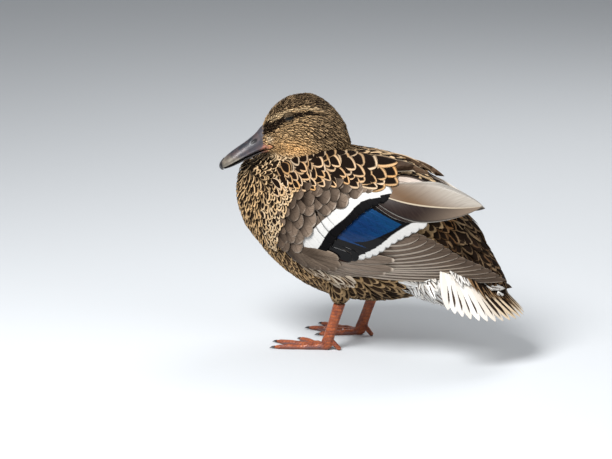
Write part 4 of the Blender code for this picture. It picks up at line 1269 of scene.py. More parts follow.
def quill_finish(name, first=SOOT, second=SOOT, roughness=0.5, shaft=SHAFT, soft=0.04, **plain):
    """Large feathers: a ground that changes towards the tip, two bands, a rim, shaft and barbs."""
    finish = Finish(name, Roughness=roughness, **{"Specular_IOR_Level": 0.03, **plain})
    along, aside, chance = finish.parts(finish.attribute("vane"))
    first_at, first_slant, _ = finish.parts(finish.attribute("first"))
    second_at, second_slant, _ = finish.parts(finish.attribute("second"))
    lower, upper, tip = finish.parts(finish.attribute("edges"))
    ground, far, rim = (finish.attribute(word) for word in ("ground", "far", "rim"))
    slanted = finish.vector(along * 30.0 - abs(aside) * 5.0 + chance * 31.0, aside * 0.8, chance * 9.0)
    barbs = finish.noise(1.6, 2.0, slanted)
    # Root colour to tip colour; on the coverts the dark root colour is painted shade under the feathers
    # that overlap it.
    body = finish.mix((along + aside * 0.15).eased(0.40, 0.98), ground, far)
    body = finish.darkened(barbs.eased(0.35, 0.75) * 0.45, body, BARB_STREAK)
    body = finish.mix(abs(aside).eased(0.07, 0.02) * 0.6, body, shaft)
    place = along + (barbs - 0.5) * 0.03
    first_band = (place - aside * first_slant - first_at).eased(-BAND_SOFT, BAND_SOFT)
    second_band = (place - aside * second_slant - second_at).eased(-BAND_SOFT, BAND_SOFT)
    body = finish.mix(second_band, finish.mix(first_band, body, first), second)
    below = (lower - (1.0 + aside)).eased(-soft, soft)
    above = (upper - (1.0 - aside)).eased(-soft, soft)
    ahead = (tip - (1.0 - along)).eased(-0.4 * soft, 0.4 * soft)
    body = finish.mix(below.larger(above).larger(ahead) * 0.9, body, rim)
    body = finish.darkened(barbs.eased(0.45, 0.75) * 0.16, body, BARB_GAP)
    relief = barbs * 0.5 + abs(aside).eased(0.12, 0.0)
    return finish.shade(Base_Color=body, Normal=finish.bump(relief, 0.35, 0.0004))


covert_finish = quill_finish("grey_coverts", roughness=0.6, shaft=(0.05, 0.035, 0.025), soft=0.11)
bar_finish = quill_finish("barred_coverts", first=BAR_WHITE, second=SOOT)
speculum_finish = quill_finish("blue_speculum", first=SOOT, second=BAR_WHITE, roughness=0.33,
                               shaft=(0.004, 0.02, 0.09), Metallic=0.2, Coat_Weight=0.3)
flight_finish = quill_finish("flight_feathers", roughness=0.48)

# ---------------------------------------------------------------- flight feathers, bar and coverts
# Long brown flight feathers show below a bright blue patch, which is bordered with black and white
# in front and behind.  Grey coverts, darker towards the shoulder, fill the rest of the wing's front.

NONE = (0.0, 0.0, 0.0)
BAR_FRONT = [(-26, 118), (-12, 128), (4, 143), (20, 157), (32, 166), (56, 173)]
BAR_BACK = [(-16, 108), (-4, 113), (11, 133), (27, 147), (42, 162), (62, 167)]
BLUE_BACK = [(14, 127), (31, 124), (50, 126), (66, 133), (80, 141), (91, 152)]
TRAILING_WHITE = [(42, 111), (60, 121), (77, 135), (100, 149)]
FLIGHT_ROOTS = [(-34, 95), (-12, 101), (8, 103), (26, 107), (38, 112), (52, 127)]
FLIGHT_TIPS = [(177, 86), (164, 95), (140, 108), (113, 126), (99, 132)]


BLUE, TEAL = (0.003, 0.026, 0.095), (0.004, 0.052, 0.135)
BARRED_GROUND = (0.13, 0.098, 0.074)
FLIGHT_GROUND = [(0.155, 0.118, 0.092), (0.125, 0.094, 0.073)]
FLIGHT_FAR = (0.095, 0.068, 0.050)
FLIGHT_RIM = (0.62, 0.52, 0.42)
OUTER_GROUND, OUTER_FAR = (0.21, 0.165, 0.13), (0.17, 0.13, 0.10)


def bright_rows():
    """Secondaries with their blue, black and white, and the white-barred coverts over them."""
    bright = row_of(
        [(-8, 116), (4, 128), (20, 142), (36, 155), (52, 166)],
        [(34, 107), (60, 114), (79, 127), (105, 141)],
        12, 13.0, [(0.8, 2.6), (2.0, 3.6)], ground=[BLUE, BLUE, BLUE, TEAL], far=[BLUE, TEAL],
        edges=NONE,
    )
    bright["first"] = crossed(bright, BLUE_BACK)
    bright["second"] = crossed(bright, TRAILING_WHITE)
    bright["first"][:3, 0] = FROM_ROOT  # the outermost and innermost ones are black all along
    bright["first"][-2:, 0] = FROM_ROOT
    bright["second"][:2, 0] = NEVER
    barred = row_of(
        [(-24, 128), (-7, 141), (0, 153), (14, 166), (29, 179), (44, 184)],
        [(2, 105), (12, 117), (22, 130), (35, 143), (50, 156), (67, 164)],
        12, 15.0, [(1.4, 3.2), (3.2, 4.4)], ground=BARRED_GROUND, far=BARRED_GROUND, edges=NONE,
    )
    barred["first"] = crossed(barred, BAR_FRONT)
    barred["second"] = crossed(barred, BAR_BACK)
    return bright, barred


def flight_rows():
    """The long primaries with a pale lower edge, and the shorter feathers over their roots."""
    flight = row_of(
        FLIGHT_ROOTS, FLIGHT_TIPS, 12, 17.0, [(-3.2, -1.6), (0.6, 2.4)],
        ground=FLIGHT_GROUND, far=FLIGHT_FAR, rim=FLIGHT_RIM, edges=(0.20, 0.02, 0.0),
    )
    outer = row_of(
        [(-34, 97), (-24, 100), (-6, 106)], [(36, 88.5), (60, 92), (75, 97), (77, 108)], 6, 12.0,
        [(0.0, 1.4), (1.6, 2.8)], ground=OUTER_GROUND, far=OUTER_FAR, edges=(0.11, 0.02, 0.04),
    )
    return together(flight, outer)


LINE_STOPS = 201
COVERT_REAR = [(-25, 108), (-19, 119), (-8, 131), (6, 145), (22, 159), (40, 169), (62, 174)]
COVERT_FRONT = [(-50, 108), (-48, 124), (-43, 142), (-36, 156), (-22, 168), (-2, 175), (26, 178)]
COVERT_STEPS = 5
# Near black at each grey covert's root: painted shade under the coverts that overlap it.
COVERT_ROOT_SHADE = (0.014, 0.009, 0.0065)
COVERT_TIP = ((0.20, 0.148, 0.11), (0.085, 0.058, 0.040))  # by the bar, at the shoulder
COVERT_RIM = ((0.46, 0.38, 0.31), (0.17, 0.122, 0.086))
LOW_COVERT = ((0.06, 0.043, 0.031), (0.15, 0.112, 0.083))  # root, tip; the darker root is painted shade under the coverts that overlap it
LOW_COVERT_RIM = (0.36, 0.29, 0.225)


def roots_before(tips, turn, length):
    """Roots of feathers that end at the tips, lie that long over the sheet and slant by the turn."""
    return tips - heading(turn) * length


def covert_rows():
    """Rounded coverts, staggered like tiles from the bar to the shoulder, and longer ones below."""
    draw = np.random.default_rng(50)
    near, far = along_line(COVERT_REAR, LINE_STOPS), along_line(COVERT_FRONT, LINE_STOPS)
    roots, tips, widths, lifts, inward = [], [], [], [], []
    for k in range(COVERT_STEPS):
        share = k / (COVERT_STEPS - 1)
        line = near + (far - near) * share
        reach = np.concatenate([[0], np.cumsum(np.linalg.norm(np.diff(line, axis=0), axis=1))])
        width = 18.5 - 5.0 * share
        at = np.arange(0.35 * width if k % 2 else 0.0, reach[-1], 0.70 * width)
        at = at + 0.10 * width * draw.standard_normal(len(at))
        place = np.stack([np.interp(at, reach, column) for column in line.T], -1)
        place += 1.4 * draw.standard_normal(place.shape)
        turn = -1.12 + 0.82 * at / reach[-1] + 0.16 * draw.standard_normal(len(at))
        roots.append(roots_before(place, turn, width * 1.5))
        tips.append(place)
        widths.append(width * (1 + 0.10 * draw.standard_normal(len(at))))
        lift = 0.4 * draw.standard_normal((len(at), 1)) + 0.10 * k
        lifts.append(np.array((0.2, 4.3)) + lift)
        inward.append(np.full(len(at), share))
    share = np.concatenate(inward)
    count = len(share)
    tiles = {name: spread(value, count) for name, value in PLAIN.items()}
    tiles["ground"] = np.tile(COVERT_ROOT_SHADE, (count, 1))
    tiles["far"] = blend(*COVERT_TIP, share**0.7)
    tiles["rim"] = blend(*COVERT_RIM, share**0.6)
    tiles["edges"] = np.tile((0.10, 0.10, 0.05), (count, 1))
    tiles["root"], tiles["tip"] = np.concatenate(roots), np.concatenate(tips)
    tiles["width"], tiles["lift"] = np.concatenate(widths), np.concatenate(lifts)
    low = row_of(
        [(-50, 118), (-42, 110), (-30, 108)], [(-14, 95), (6, 92), (22, 98), (20, 106)], 7, 14.0,
        (1.8, 3.6), 0.8, 60, ground=LOW_COVERT[0], far=LOW_COVERT[1], rim=LOW_COVERT_RIM,
        edges=(0.05, 0.05, 0.03),
    )
    return together(low, tiles)


# ---------------------------------------------------------------- tertials and shoulder feathers
# The three long inner feathers of each wing lie over its rear half.  Dark shoulder feathers with
# cream margins cover their roots, and breast feathers lap over the bend of the wing.

TERTIAL_LIGHT = (0.38, 0.345, 0.30)
TERTIAL_CHESTNUT = (0.105, 0.052, 0.018)
TERTIAL_DARK = (0.012, 0.0045, 0.0030)
TERTIAL_TIP = (0.20, 0.150, 0.11)
TERTIAL_EDGE = (0.62, 0.57, 0.50)
TERTIAL_SHAFT = (0.50, 0.42, 0.31)


def tertial_finish():
    """The long inner feathers: silvery above a pale shaft, chestnut brown below it."""
    finish = Finish("tertials", Roughness=0.42, Specular_IOR_Level=0.25)
    along, aside, chance = finish.parts(finish.attribute("vane"))
    slanted = finish.vector(along * 34.0 - abs(aside) * 6.0, aside * 1.2, chance * 9.0)
    barbs = finish.noise(1.8, 2.0, slanted)
    above = finish.mix((along + aside * 0.5).eased(0.38, 1.2), TERTIAL_CHESTNUT, TERTIAL_LIGHT)
    below = finish.mix((along - aside * 0.12).eased(0.50, 1.05), TERTIAL_DARK, TERTIAL_TIP)
    body = finish.mix(aside.eased(-0.03, 0.03), below, above)
    body = finish.mix(1.0, body, finish.attribute("ground"), "MULTIPLY")
    body = finish.mix(barbs.eased(0.35, 0.8) * 0.22, body, (0.06, 0.042, 0.03))
    body = finish.mix(abs(aside).eased(0.92, 0.985) * 0.8, body, TERTIAL_EDGE)
    body = finish.mix(abs(aside).eased(0.05, 0.02) * 0.8, body, TERTIAL_SHAFT)
    relief = barbs * 0.4 + abs(aside).eased(0.09, 0.0)
    return finish.shade(Base_Color=body, Normal=finish.bump(relief, 0.35, 0.0004))


tertial_look = tertial_finish()


def tertial_rows(word):
    """From the lowest up; the highest one is the broad silvery feather that covers the rest.

    Those of the right wing lie a little further forward."""
    full = (1.0, 1.0, 1.0)
    forward = np.array((0.0, 0.0) if word == "left" else (-11.0, 2.0))
    rows = [
        row_of([(52, 158)], [(109, 148)], 1, 19.0, (1.8, 3.4), bend=5.0, ground=(0.7, 0.66, 0.6)),
        row_of([(54, 164)], [(126, 152)], 1, 23.0, (2.4, 4.0), bend=-3.0, ground=(0.8, 0.76, 0.7)),
        row_of([(48, 172)], [(151, 155)], 1, 33.0, (3.0, 4.8), bend=-5.5, ground=full, skew=0.14),
    ]
    whole = together(*rows)
    whole["tip"] = whole["tip"] + forward
    return whole


def tiled_rows(first, last, steps, count, stagger, power=1.0):
    """Rows of feather tips between two lines over the sheet, every other row moved on like tiles:
    each row's share of the way from the first line to the last, its tips, and how far back they are."""
    first, last = along_line(first, LINE_STOPS), along_line(last, LINE_STOPS)
    stops = np.linspace(0, 1, LINE_STOPS)
    for k, share in enumerate(np.linspace(0, 1, steps)):
        line = first + (last - first) * share
        back = np.clip((np.linspace(0, 1, count) + stagger * (k % 2)) ** power, 0, 1)
        yield share, np.stack([np.interp(back, stops, column) for column in line.T], -1), back


SCAPULAR_HIDDEN = 7.0  # length of each feather in front of its dark middle
SCAPULAR_MARGIN = 1.35
SCAPULAR_LOW = 5.0  # the least that their roots lie below the back's ridge
SCAPULAR_RUST = (0.56, 0.31, 0.125)
SCAPULAR_CREAM = (0.66, 0.50, 0.345)
SCAPULAR_DARK = (0.008, 0.0045, 0.003)


def scapular_row(roots, tips, widths, lift, share, seed):
    """Shoulder feathers with a dark middle and a cream and buff margin."""
    draw = np.random.default_rng(seed)
    count = len(roots)
    way = unit(tips - roots)
    hidden = roots - way * SCAPULAR_HIDDEN
    ridge = smooth_run(WING_SHEET, hidden[:, 0])[:, 3]
    hidden[:, 1] = np.minimum(hidden[:, 1], ridge - SCAPULAR_LOW)
    tips, whole = tips + way * SCAPULAR_MARGIN, widths + 2 * SCAPULAR_MARGIN
    length = np.linalg.norm(tips - hidden, axis=-1)
    return marked_row(
        hidden, tips, whole,
        lift=lift + 0.25 * draw.standard_normal((count, 1)),
        ground=blend(SCAPULAR_RUST, SCAPULAR_CREAM, draw.random(count)),
        mark=SCAPULAR_DARK,
        form=side_by_side(share * widths / whole, -0.2, 1 - SCAPULAR_MARGIN / length),
        bend=0.8,
    )


SMALL_LOW = [(-48, 160), (-28, 166), (-4, 172), (28, 177), (60, 175)]
SMALL_HIGH = [(-44, 181), (-30, 188), (-8, 196), (24, 199), (54, 195)]
LARGE_LOW = [(-26, 168), (20, 174), (74, 176)]
LARGE_HIGH = [(-24, 184), (16, 191), (64, 190)]


def scapular_rows():
    """Seven rows of small shoulder feathers, and over them three rows of large ones."""
    draw = np.random.default_rng(70)
    made = []
    for share, tips, back in tiled_rows(SMALL_LOW, SMALL_HIGH, 7, 12, 0.045, 1.25):
        count = len(tips)
        tips = tips + 0.9 * draw.standard_normal(tips.shape)
        length = (7.5 + 13.0 * back) * (1 + 0.12 * draw.standard_normal(count))
        turn = -0.55 + 0.3 * back + 0.14 * draw.standard_normal(count)
        widths = (5.0 + 3.2 * back) * (1 + 0.15 * draw.standard_normal(count))
        roots = roots_before(tips, turn, length[:, None])
        row = scapular_row(roots, tips, widths, (2.0, 5.2 - 1.4 * share), 1.0, 80 + len(made))
        row["ground"] = row["ground"] * (1 - 0.45 * share)
        made.append(row)
    for _, tips, back in tiled_rows(LARGE_LOW, LARGE_HIGH, 3, 6, 0.09):
        count = len(tips)
        tips = tips + 1.2 * draw.standard_normal(tips.shape)
        length = (12.0 + 16.0 * back) * (1 + 0.10 * draw.standard_normal(count))
        turn = -0.32 + 0.06 * draw.standard_normal(count)
        widths = (5.6 + 1.8 * back) * (1 + 0.16 * draw.standard_normal(count))
        roots = roots_before(tips, turn, length[:, None])
        made.append(scapular_row(roots, tips, widths, (1.6, 5.8), 1.02, 90 + len(made)))
    return together(*made)


def rear_scapulars():
    """The long pointed brown feathers behind the shoulder, and the pale one under them."""
    brown = (0.062, 0.036, 0.022)
    return together(
        row_of([(52, 182)], [(104, 172)], 1, 11.0, (1.2, 2.6), ground=(0.50, 0.42, 0.36),
               far=(0.62, 0.55, 0.50), rim=(0.05, 0.032, 0.022), edges=(0.0, 0.3, 0.0), bend=1.5),
        row_of([(24, 199)], [(82, 190)], 1, 10.0, (1.8, 3.2), ground=brown, far=(0.11, 0.072, 0.045),
               rim=(0.50, 0.36, 0.22), edges=(0.10, 0.16, 0.02), bend=2.0),
        row_of([(36, 193)], [(96, 187)], 1, 13.0, (2.6, 4.2), ground=brown, far=(0.10, 0.062, 0.038),
               rim=(0.72, 0.60, 0.44), edges=(0.22, 0.03, 0.0), bend=2.5),
    )


scapular_finish = feather_finish("shoulder_feathers", ragged=0.22, lean=0.16)


BEND_FRONT = [(-62, 106), (-64, 122), (-64, 140), (-60, 156), (-52, 168)]
BEND_REAR = [(-51, 106), (-45, 124), (-39, 141), (-34, 154), (-28, 164)]
BEND_REACH = 14.0  # how far their roots may lie in front of the sheet's first section


def bend_rows():
    """Breast feathers that lap over the bend of the folded wing."""
    draw = np.random.default_rng(95)
    made = []
    for share, tips, _ in tiled_rows(BEND_FRONT, BEND_REAR, 9, 12, 0.045):
        count = len(tips)
        tips = tips + 1.1 * draw.standard_normal(tips.shape)
        length = (10.0 + 3.0 * share) * (1 + 0.14 * draw.standard_normal(count))
        turn = -1.25 + 0.35 * share + 0.20 * draw.standard_normal(count)
        roots = roots_before(tips, turn, length[:, None])
        roots[:, 0] = np.maximum(roots[:, 0], WING_SHEET[0][0] - BEND_REACH)
        made.append(marked_row(
            roots, tips,
            width=(5.6 + 1.6 * share) * (1 + 0.16 * draw.standard_normal(count)),
            lift=(1.8, 4.6 + 0.8 * share) + 0.3 * draw.standard_normal((count, 1)),
            ground=blend(BUFF, CREAM, 0.6 * draw.random(count)),
            mark=DARK,
            form=side_by_side(draw.uniform(0.5, 0.72, count), 0.0, 0.86),
        ))
    return together(*made)


def flank_row():
    """Pale flank feathers, streaked with brown, that lap over the front edge of the wing."""
    count = 16
    row = row_of([(-30, 100), (-14, 92), (4, 86), (20, 84)], [(-12, 84), (4, 79), (18, 76), (34, 77)],
                 count, 8.5, (0.0, 2.4), 2.2, 90)
    draw = np.random.default_rng(91)
    return marked_row(
        row["root"], row["tip"], row["width"], row["lift"],
        ground=blend((0.62, 0.53, 0.42), (0.20, 0.14, 0.09), draw.random(count) ** 1.5),
        mark=UMBER,
        form=side_by_side(draw.uniform(0.2, 0.6, count), 0.1, 0.92),
    )


# ---------------------------------------------------------------- both wings laid
# The right wing is the left one's mirror image, with chances of its own.  It sags a little more, and
# its tertials lie a little further forward.


def wing_pieces(word):
    def placed(y, z, lift):
        return wing_spots(word, y, z, lift)

    node = f"wing_{word}"
    mirrored = word == "right"
    seed = 31 if mirrored else 41
    bright, barred = bright_rows()
    common = {"placed": placed, "mirrored": mirrored}
    row_piece(f"{node}_flight_feathers", row=flight_rows(), material=flight_finish, slot="flight_feathers",
              seed=seed, nodes=[f"{node}_primaries"], rows=18, shape=(3.0, 0.35, 0.6), bow=0.012, **common)
    row_piece(f"{node}_bright_feathers", row=bright, material=speculum_finish, slot="speculum",
              seed=seed + 1, nodes=[f"{node}_speculum"], rows=14, shape=(8.0, 0.45, 0.5), bow=0.012,
              **common)
    row_piece(f"{node}_barred_coverts", row=barred, material=bar_finish, slot="wing_coverts",
              seed=seed + 2, shape=(9.0, 0.45, 0.5), bow=0.012, **common)
    row_piece(f"{node}_flank_feathers", row=flank_row(), material=contour_finish,
              slot="plumage_over_flesh", seed=seed + 3, rows=9, shape=(2.0, 0.35, 0.6), **common)
    row_piece(f"{node}_grey_coverts", row=covert_rows(), material=covert_finish, slot="wing_coverts",
              seed=seed + 4, nodes=[f"{node}_coverts"], rows=10, shape=(2.6, 0.4, 0.5), bow=0.07,
              uneven=0.22, **common)
    row_piece(f"{node}_bend_feathers", row=bend_rows(), material=contour_finish,
              slot="plumage_over_flesh", seed=seed + 8, rows=7, shape=(2.4, 0.35, 0.6), **common)
    row_piece(f"{node}_tertials", row=tertial_rows(word), material=tertial_look, slot="tertials",
              seed=seed + 5, nodes=[f"{node}_tertials"], rows=24, columns=10, shape=(1.7, 0.35, 0.85),
              bow=0.05, **common)
    row_piece(f"{node}_scapulars", row=scapular_rows(), material=scapular_finish, slot="scapulars",
              seed=seed + 6, nodes=[f"{node}_scapulars"], rows=12, shape=(2.2, 0.4, 0.6), bow=0.09,
              **common)
    row_piece(f"{node}_rear_scapulars", row=rear_scapulars(), material=flight_finish, slot="scapulars",
              seed=seed + 7, rows=16, shape=(1.7, 0.4, 0.85), bow=0.07, **common)


for word in SIDES:
    wing_pieces(word)

# ---------------------------------------------------------------- tail
# Twenty-two pointed feathers spread as a drooping fan, the middle ones on top.  The outer ones are
# white with a dark streak along the shaft, the middle ones dark brown edged with cream.

WHITE = (0.80, 0.785, 0.75)
TAIL_STREAK = (0.055, 0.036, 0.025)
TAIL_CREAM = (0.66, 0.52, 0.36)
TAIL_BROWN = (0.22, 0.12, 0.055)
TAIL_SPREAD = math.radians(54.0)
TAIL_LENGTH = 97.0
TAIL_SIDE_LENGTH = 76.0
TAIL_FEATHERS = 22
TAIL_DISH = 0.0062  # how fast the fan falls away to its sides
ROOT_TURN = 0.85  # how far a feather turns outwards, as a share of the way to its tip


def tail_spots(forward, aside, height):
    """Frame points on the fan: forward along its middle line, aside to the bird's left."""
    s, c = math.sin(TAIL_DROOP), math.cos(TAIL_DROOP)
    rise = height - TAIL_DISH * aside**2
    x, y, z = TAIL_ROOT
    return to_frame(x + aside, y + forward * c + rise * s, z - forward * s + rise * c)


def tail_row():
    share = np.linspace(0, 1, TAIL_FEATHERS)
    angle = TAIL_SPREAD * (2 * share - 1)
    middle = 1 - np.abs(2 * share - 1)
    length = TAIL_LENGTH + (TAIL_SIDE_LENGTH - TAIL_LENGTH) * np.abs(2 * share - 1) ** 1.6
    tip = heading(angle) * length[:, None]
    dark = step_up(0.45, 0.85, middle)
    return marked_row(
        tip - heading(ROOT_TURN * angle) * 0.83 * length[:, None], tip, 15.5,
        lift=side_by_side(-4.2 + 5.0 * middle, -1.0 + 2.4 * middle),
        ground=blend(WHITE, TAIL_CREAM, dark),
        mark=blend(TAIL_STREAK, DARK, dark),
        form=side_by_side(0.24 + 0.36 * dark, 0.35 - 0.7 * dark, 0.90 + 0.05 * dark),
        skew=0.2 * np.sign(angle),
    )


row_piece("tail_feathers", tail_spots, tail_row(), streaked_finish, "tail_feathers", 91,
          ["tail_left", "tail_middle", "tail_right"], 20, 8, (2.3, 0.35, 0.75), 0.03, mirrored=True)


def tail_covert_row():
    """Long dark coverts over the middle of the fan, and white ones beside them."""
    draw = np.random.default_rng(92)
    count = 26
    angle = np.linspace(-0.62, 0.62, count)
    near = np.abs(angle) / 0.62
    length = 84 - 34 * near + 5 * draw.standard_normal(count)
    first = 10.0 + 8.0 * draw.random(count)
    return marked_row(
        heading(angle) * first[:, None], heading(angle) * length[:, None], 8.5,
        lift=side_by_side(4.0, 2.4 - 0.6 * near + 0.5 * draw.random(count)),
        ground=TAIL_BROWN, mark=DARK, form=(0.8, -0.3, 0.97),
    )


def side_covert_row():
    """White coverts over the roots of the outer tail feathers, on both sides."""
    draw = np.random.default_rng(94)
    angle = np.concatenate([np.linspace(0.34, 1.12, 11), np.linspace(-0.34, -1.12, 11)])
    count = len(angle)
    length = 50.0 + 6.0 * draw.standard_normal(count)
    tip = heading(angle) * length[:, None]
    return marked_row(
        tip - 36.0 * heading(ROOT_TURN * angle), tip, 10.5,
        lift=side_by_side(-3.0, 2.0 + 0.6 * draw.random(count)),
        ground=WHITE, mark=TAIL_STREAK, form=(0.2, 0.5, 0.92),
    )


row_piece("side_tail_coverts", tail_spots, side_covert_row(), streaked_finish, "plumage_over_flesh",
          96, [], 14, 4, (1.9, 0.3, 0.85), 0.05, mirrored=True)
row_piece("upper_tail_coverts_long", tail_spots, tail_covert_row(), contour_finish, "plumage_over_flesh",
          93, [], 14, 4, (1.8, 0.4, 0.85), 0.08, mirrored=True)

# ---------------------------------------------------------------- bill
# A horny bill in two halves with a hard nail at its tip: slate on top, olive towards the edge,
# orange at the corner of the mouth.  Fine ridges line its cutting edge.

BILL_BASE = (42.0, -9.0)  # forward and up from the head's middle
BILL_DROP = math.radians(31.0)
# Upper bill: along, ridge, cutting edge, half width.
UPPER_BILL = [
    (-9.0, 12.0, -13.2, 10.6),
    (-2.0, 10.0, -11.8, 10.5),
    (4.0, 7.8, -10.4, 9.9),
    (10.0, 6.6, -9.2, 9.6),
    (18.0, 5.5, -8.0, 9.9),
    (27.0, 4.8, -7.1, 10.8),
    (36.0, 3.8, -6.4, 11.7),
    (43.0, 2.4, -5.9, 11.2),
    (48.0, 0.8, -5.4, 8.6),
    (51.0, -0.8, -5.0, 5.4),
    (52.5, -3.0, -3.0, 0.0),
]
# Lower bill: along, its top, its underside, half width.
LOWER_BILL = [
    (-8.0, -13.6, -18.0, 8.0),
    (-1.0, -12.3, -15.6, 8.4),
    (8.0, -10.0, -12.9, 8.0),
    (18.0, -8.5, -11.2, 8.2),
    (28.0, -7.5, -10.0, 9.0),
    (38.0, -6.7, -8.9, 9.6),
    (45.0, -6.1, -7.9, 8.2),
    (49.0, -5.8, -7.0, 4.6),
    (50.5, -6.3, -6.3, 0.0),
]
BILL_RINGS, BILL_ROUND = 84, 72
BILL_END = 0.05  # how far the last ring lies before the tip's one point
NOSTRIL = (9.0, 2.6)  # along, up
SLATE = ((0.045, 0.040, 0.048), (0.010, 0.012, 0.018))
OLIVE = ((0.12, 0.105, 0.080), (0.20, 0.17, 0.125))
MOUTH_ORANGE = (0.42, 0.17, 0.11)


def head_spots(forward, across, up):
    """Frame points from arrays of head measures."""
    s, c = math.sin(HEAD_TURN), math.cos(HEAD_TURN)
    x = HEAD_CENTRE[0] + forward * s + across * c
    y = HEAD_CENTRE[1] - forward * c + across * s
    return to_frame(x, y, HEAD_CENTRE[2] + up)


def bill_spots(along, across, up):
    s, c = math.sin(BILL_DROP), math.cos(BILL_DROP)
    forward = BILL_BASE[0] + along * c + up * s
    return head_spots(forward, across, BILL_BASE[1] - along * s + up * c)


def closed_mesh(name, places, faces):
    """A smooth mesh from points and faces, with every face turned outwards."""
    mesh = bpy.data.meshes.new(name)
    mesh.from_pydata(places.tolist(), [], faces)
    shape = bmesh.new()
    shape.from_mesh(mesh)
    bmesh.ops.recalc_face_normals(shape, faces=shape.faces[:])
    shape.to_mesh(mesh)
    shape.free()
    mesh.shade_smooth()
    return mesh


def tube_faces(rings, around):
    """Faces of a tube of rings; the two points after the rings' own close its ends."""
    faces = []
    last = (rings - 1) * around
    for start in range(0, last, around):
        for k in range(around):
            a, b = start + k, start + (k + 1) % around
            faces.append((a, b, b + around, a + around))
    for k in range(around):
        after = (k + 1) % around
        faces.append((rings * around, after, k))
        faces.append((rings * around + 1, last + k, last + after))
    return faces


def nostril_and_lip(along, up, share, span):
    """How far the upper bill stands out beside its smooth form: a rolled edge, and the nostrils' dip."""
    level = up - NOSTRIL[1] + 0.1 * along - 0.9
    hollow = ((along - NOSTRIL[0]) / 3.4) ** 2 + (level / 1.2) ** 2
    lip = 0.45 * np.exp(-(((share - 0.14) / 0.07) ** 2)) - 0.35 * np.exp(-(((share - 0.30) / 0.08) ** 2))
    lip = lip * step_up(span[0] + 4, span[0] + 14, along) * step_up(0, 3, span[1] - along)
    return lip, 1.3 * np.exp(-(hollow**2))


def bill_half(name, table, crown, sole, material, nodes):
    """One closed horny shell.  Its section is rounder above or below, as crown and sole say."""
    start, end = table[0][0], table[-1][0] - BILL_END
    along = end - (end - start) * (1 - np.linspace(0, 1, BILL_RINGS)) ** 1.4
    top, bottom, half = np.moveaxis(smooth_run(table, along), -1, 0)
    edge = bottom + (top - bottom) * (0.22 if crown > sole else 0.78)
    angle = np.linspace(0, 2 * math.pi, BILL_ROUND, endpoint=False)
    c, s = np.cos(angle)[None], np.sin(angle)[None]
    power = 2 / np.where(s > 0, crown, sole)
    reach = np.where(s > 0, (top - edge)[:, None], (edge - bottom)[:, None])
    raise_out = np.sign(c) * np.abs(c) ** power
    up = edge[:, None] + reach * (np.sign(s) * np.abs(s) ** power)
    across = half[:, None] * raise_out
    share = (up - bottom[:, None]) / (top - bottom)[:, None]
    if crown > sole:
        lip, dip = nostril_and_lip(along[:, None], up, share, (start, end))
        across = across + np.sign(c) * (lip * np.abs(raise_out) - dip)
    along_all = np.broadcast_to(along[:, None], up.shape)
    ends = [
        bill_spots(along[0], 0.0, (top[0] + bottom[0]) / 2),
        bill_spots(end + BILL_END, 0.0, (top[-1] + bottom[-1]) / 2),
    ]
    places = np.concatenate([bill_spots(along_all, across, up).reshape(-1, 3), ends])
    mesh = closed_mesh(name, places, tube_faces(BILL_RINGS, BILL_ROUND))
    values = np.stack([along_all, np.clip(share, 0, 1), across], -1).reshape(-1, 3)
    store(mesh, "horn", np.concatenate([values, [(along[0], 0.5, 0.0), (end, 0.5, 0.0)]]))
    dressed(name, mesh, material, "bill", nodes)


def upper_bill_colour(finish, along, share, mottle):
    """Slate, olive towards the tip and orange along the edge by the mouth, with painted shade in the
    nostrils.
    """
    slate = finish.mix(share.eased(0.25, 0.9), *SLATE)
    olive = finish.mix(mottle.eased(0.35, 0.65), *OLIVE)
    towards_tip = (along - share * 16.0 + mottle * 6.0).eased(22.0, 34.0)
    body = finish.mix(towards_tip * 0.85, slate, olive)
    patches = finish.noise(120.0, 4.0)
    body = finish.mix(patches.eased(0.46, 0.62) * 0.55, body, (0.085, 0.052, 0.050))
    base = (along + mottle * 3.0).eased(5.5, 0.5)
    body = finish.mix(base * 0.6, body, (0.060, 0.050, 0.058))
    edge = (along + share * 26.0 + mottle * 4.0).eased(15.0, 9.0)
    body = finish.mix(edge * 0.85, body, MOUTH_ORANGE)
    body = finish.mix(mottle.eased(0.5, 0.8) * 0.35, body, (0.10, 0.075, 0.085))
    body = finish.mix((along + share * 2.0).eased(48.8, 50.2), body, (0.006, 0.005, 0.005))
    body = finish.mix(share.eased(0.05, 0.02), body, (0.02, 0.016, 0.014))
    # Painted shade: the nostrils' openings painted near black.
    hollow, height = (along - NOSTRIL[0]) / 4.2, (share - 0.72) / 0.11
    dark = (hollow * hollow + height * height).eased(1.15, 0.7)
    return finish.mix(dark, body, (0.004, 0.003, 0.004))


def bill_finish(name, lower=False):
    finish = Finish(name, Coat_Weight=0.08)
    along, share, _ = finish.parts(finish.attribute("horn"))
    mottle, fine = finish.noise(260.0, 4.0), finish.noise(1500.0, 3.0)
    if lower:
        body = finish.mix(along.eased(1.0, 10.0), (0.22, 0.085, 0.04), (0.030, 0.025, 0.024))
    else:
        body = upper_bill_colour(finish, along, share, mottle)
    relief = fine * 0.35 + mottle * 0.5 + finish.bands(along * 0.32) * share.eased(0.12, 0.03) * 0.9
    roughness = mottle.eased(0.2, 0.8) * 0.22 + 0.38
    return finish.shade(Base_Color=body, Roughness=roughness, Normal=finish.bump(relief, 0.4, 0.0004))


def nail_finish():
    finish = Finish("bill_nail_horn", Coat_Weight=0.4)
    grain = finish.noise(700.0, 3.0)
    body = finish.mix(grain.eased(0.3, 0.7), (0.010, 0.009, 0.009), (0.035, 0.030, 0.028))
    relief = finish.bump(grain, 0.3, 0.0003)
    return finish.shade(Base_Color=body, Roughness=grain * 0.2 + 0.22, Normal=relief)


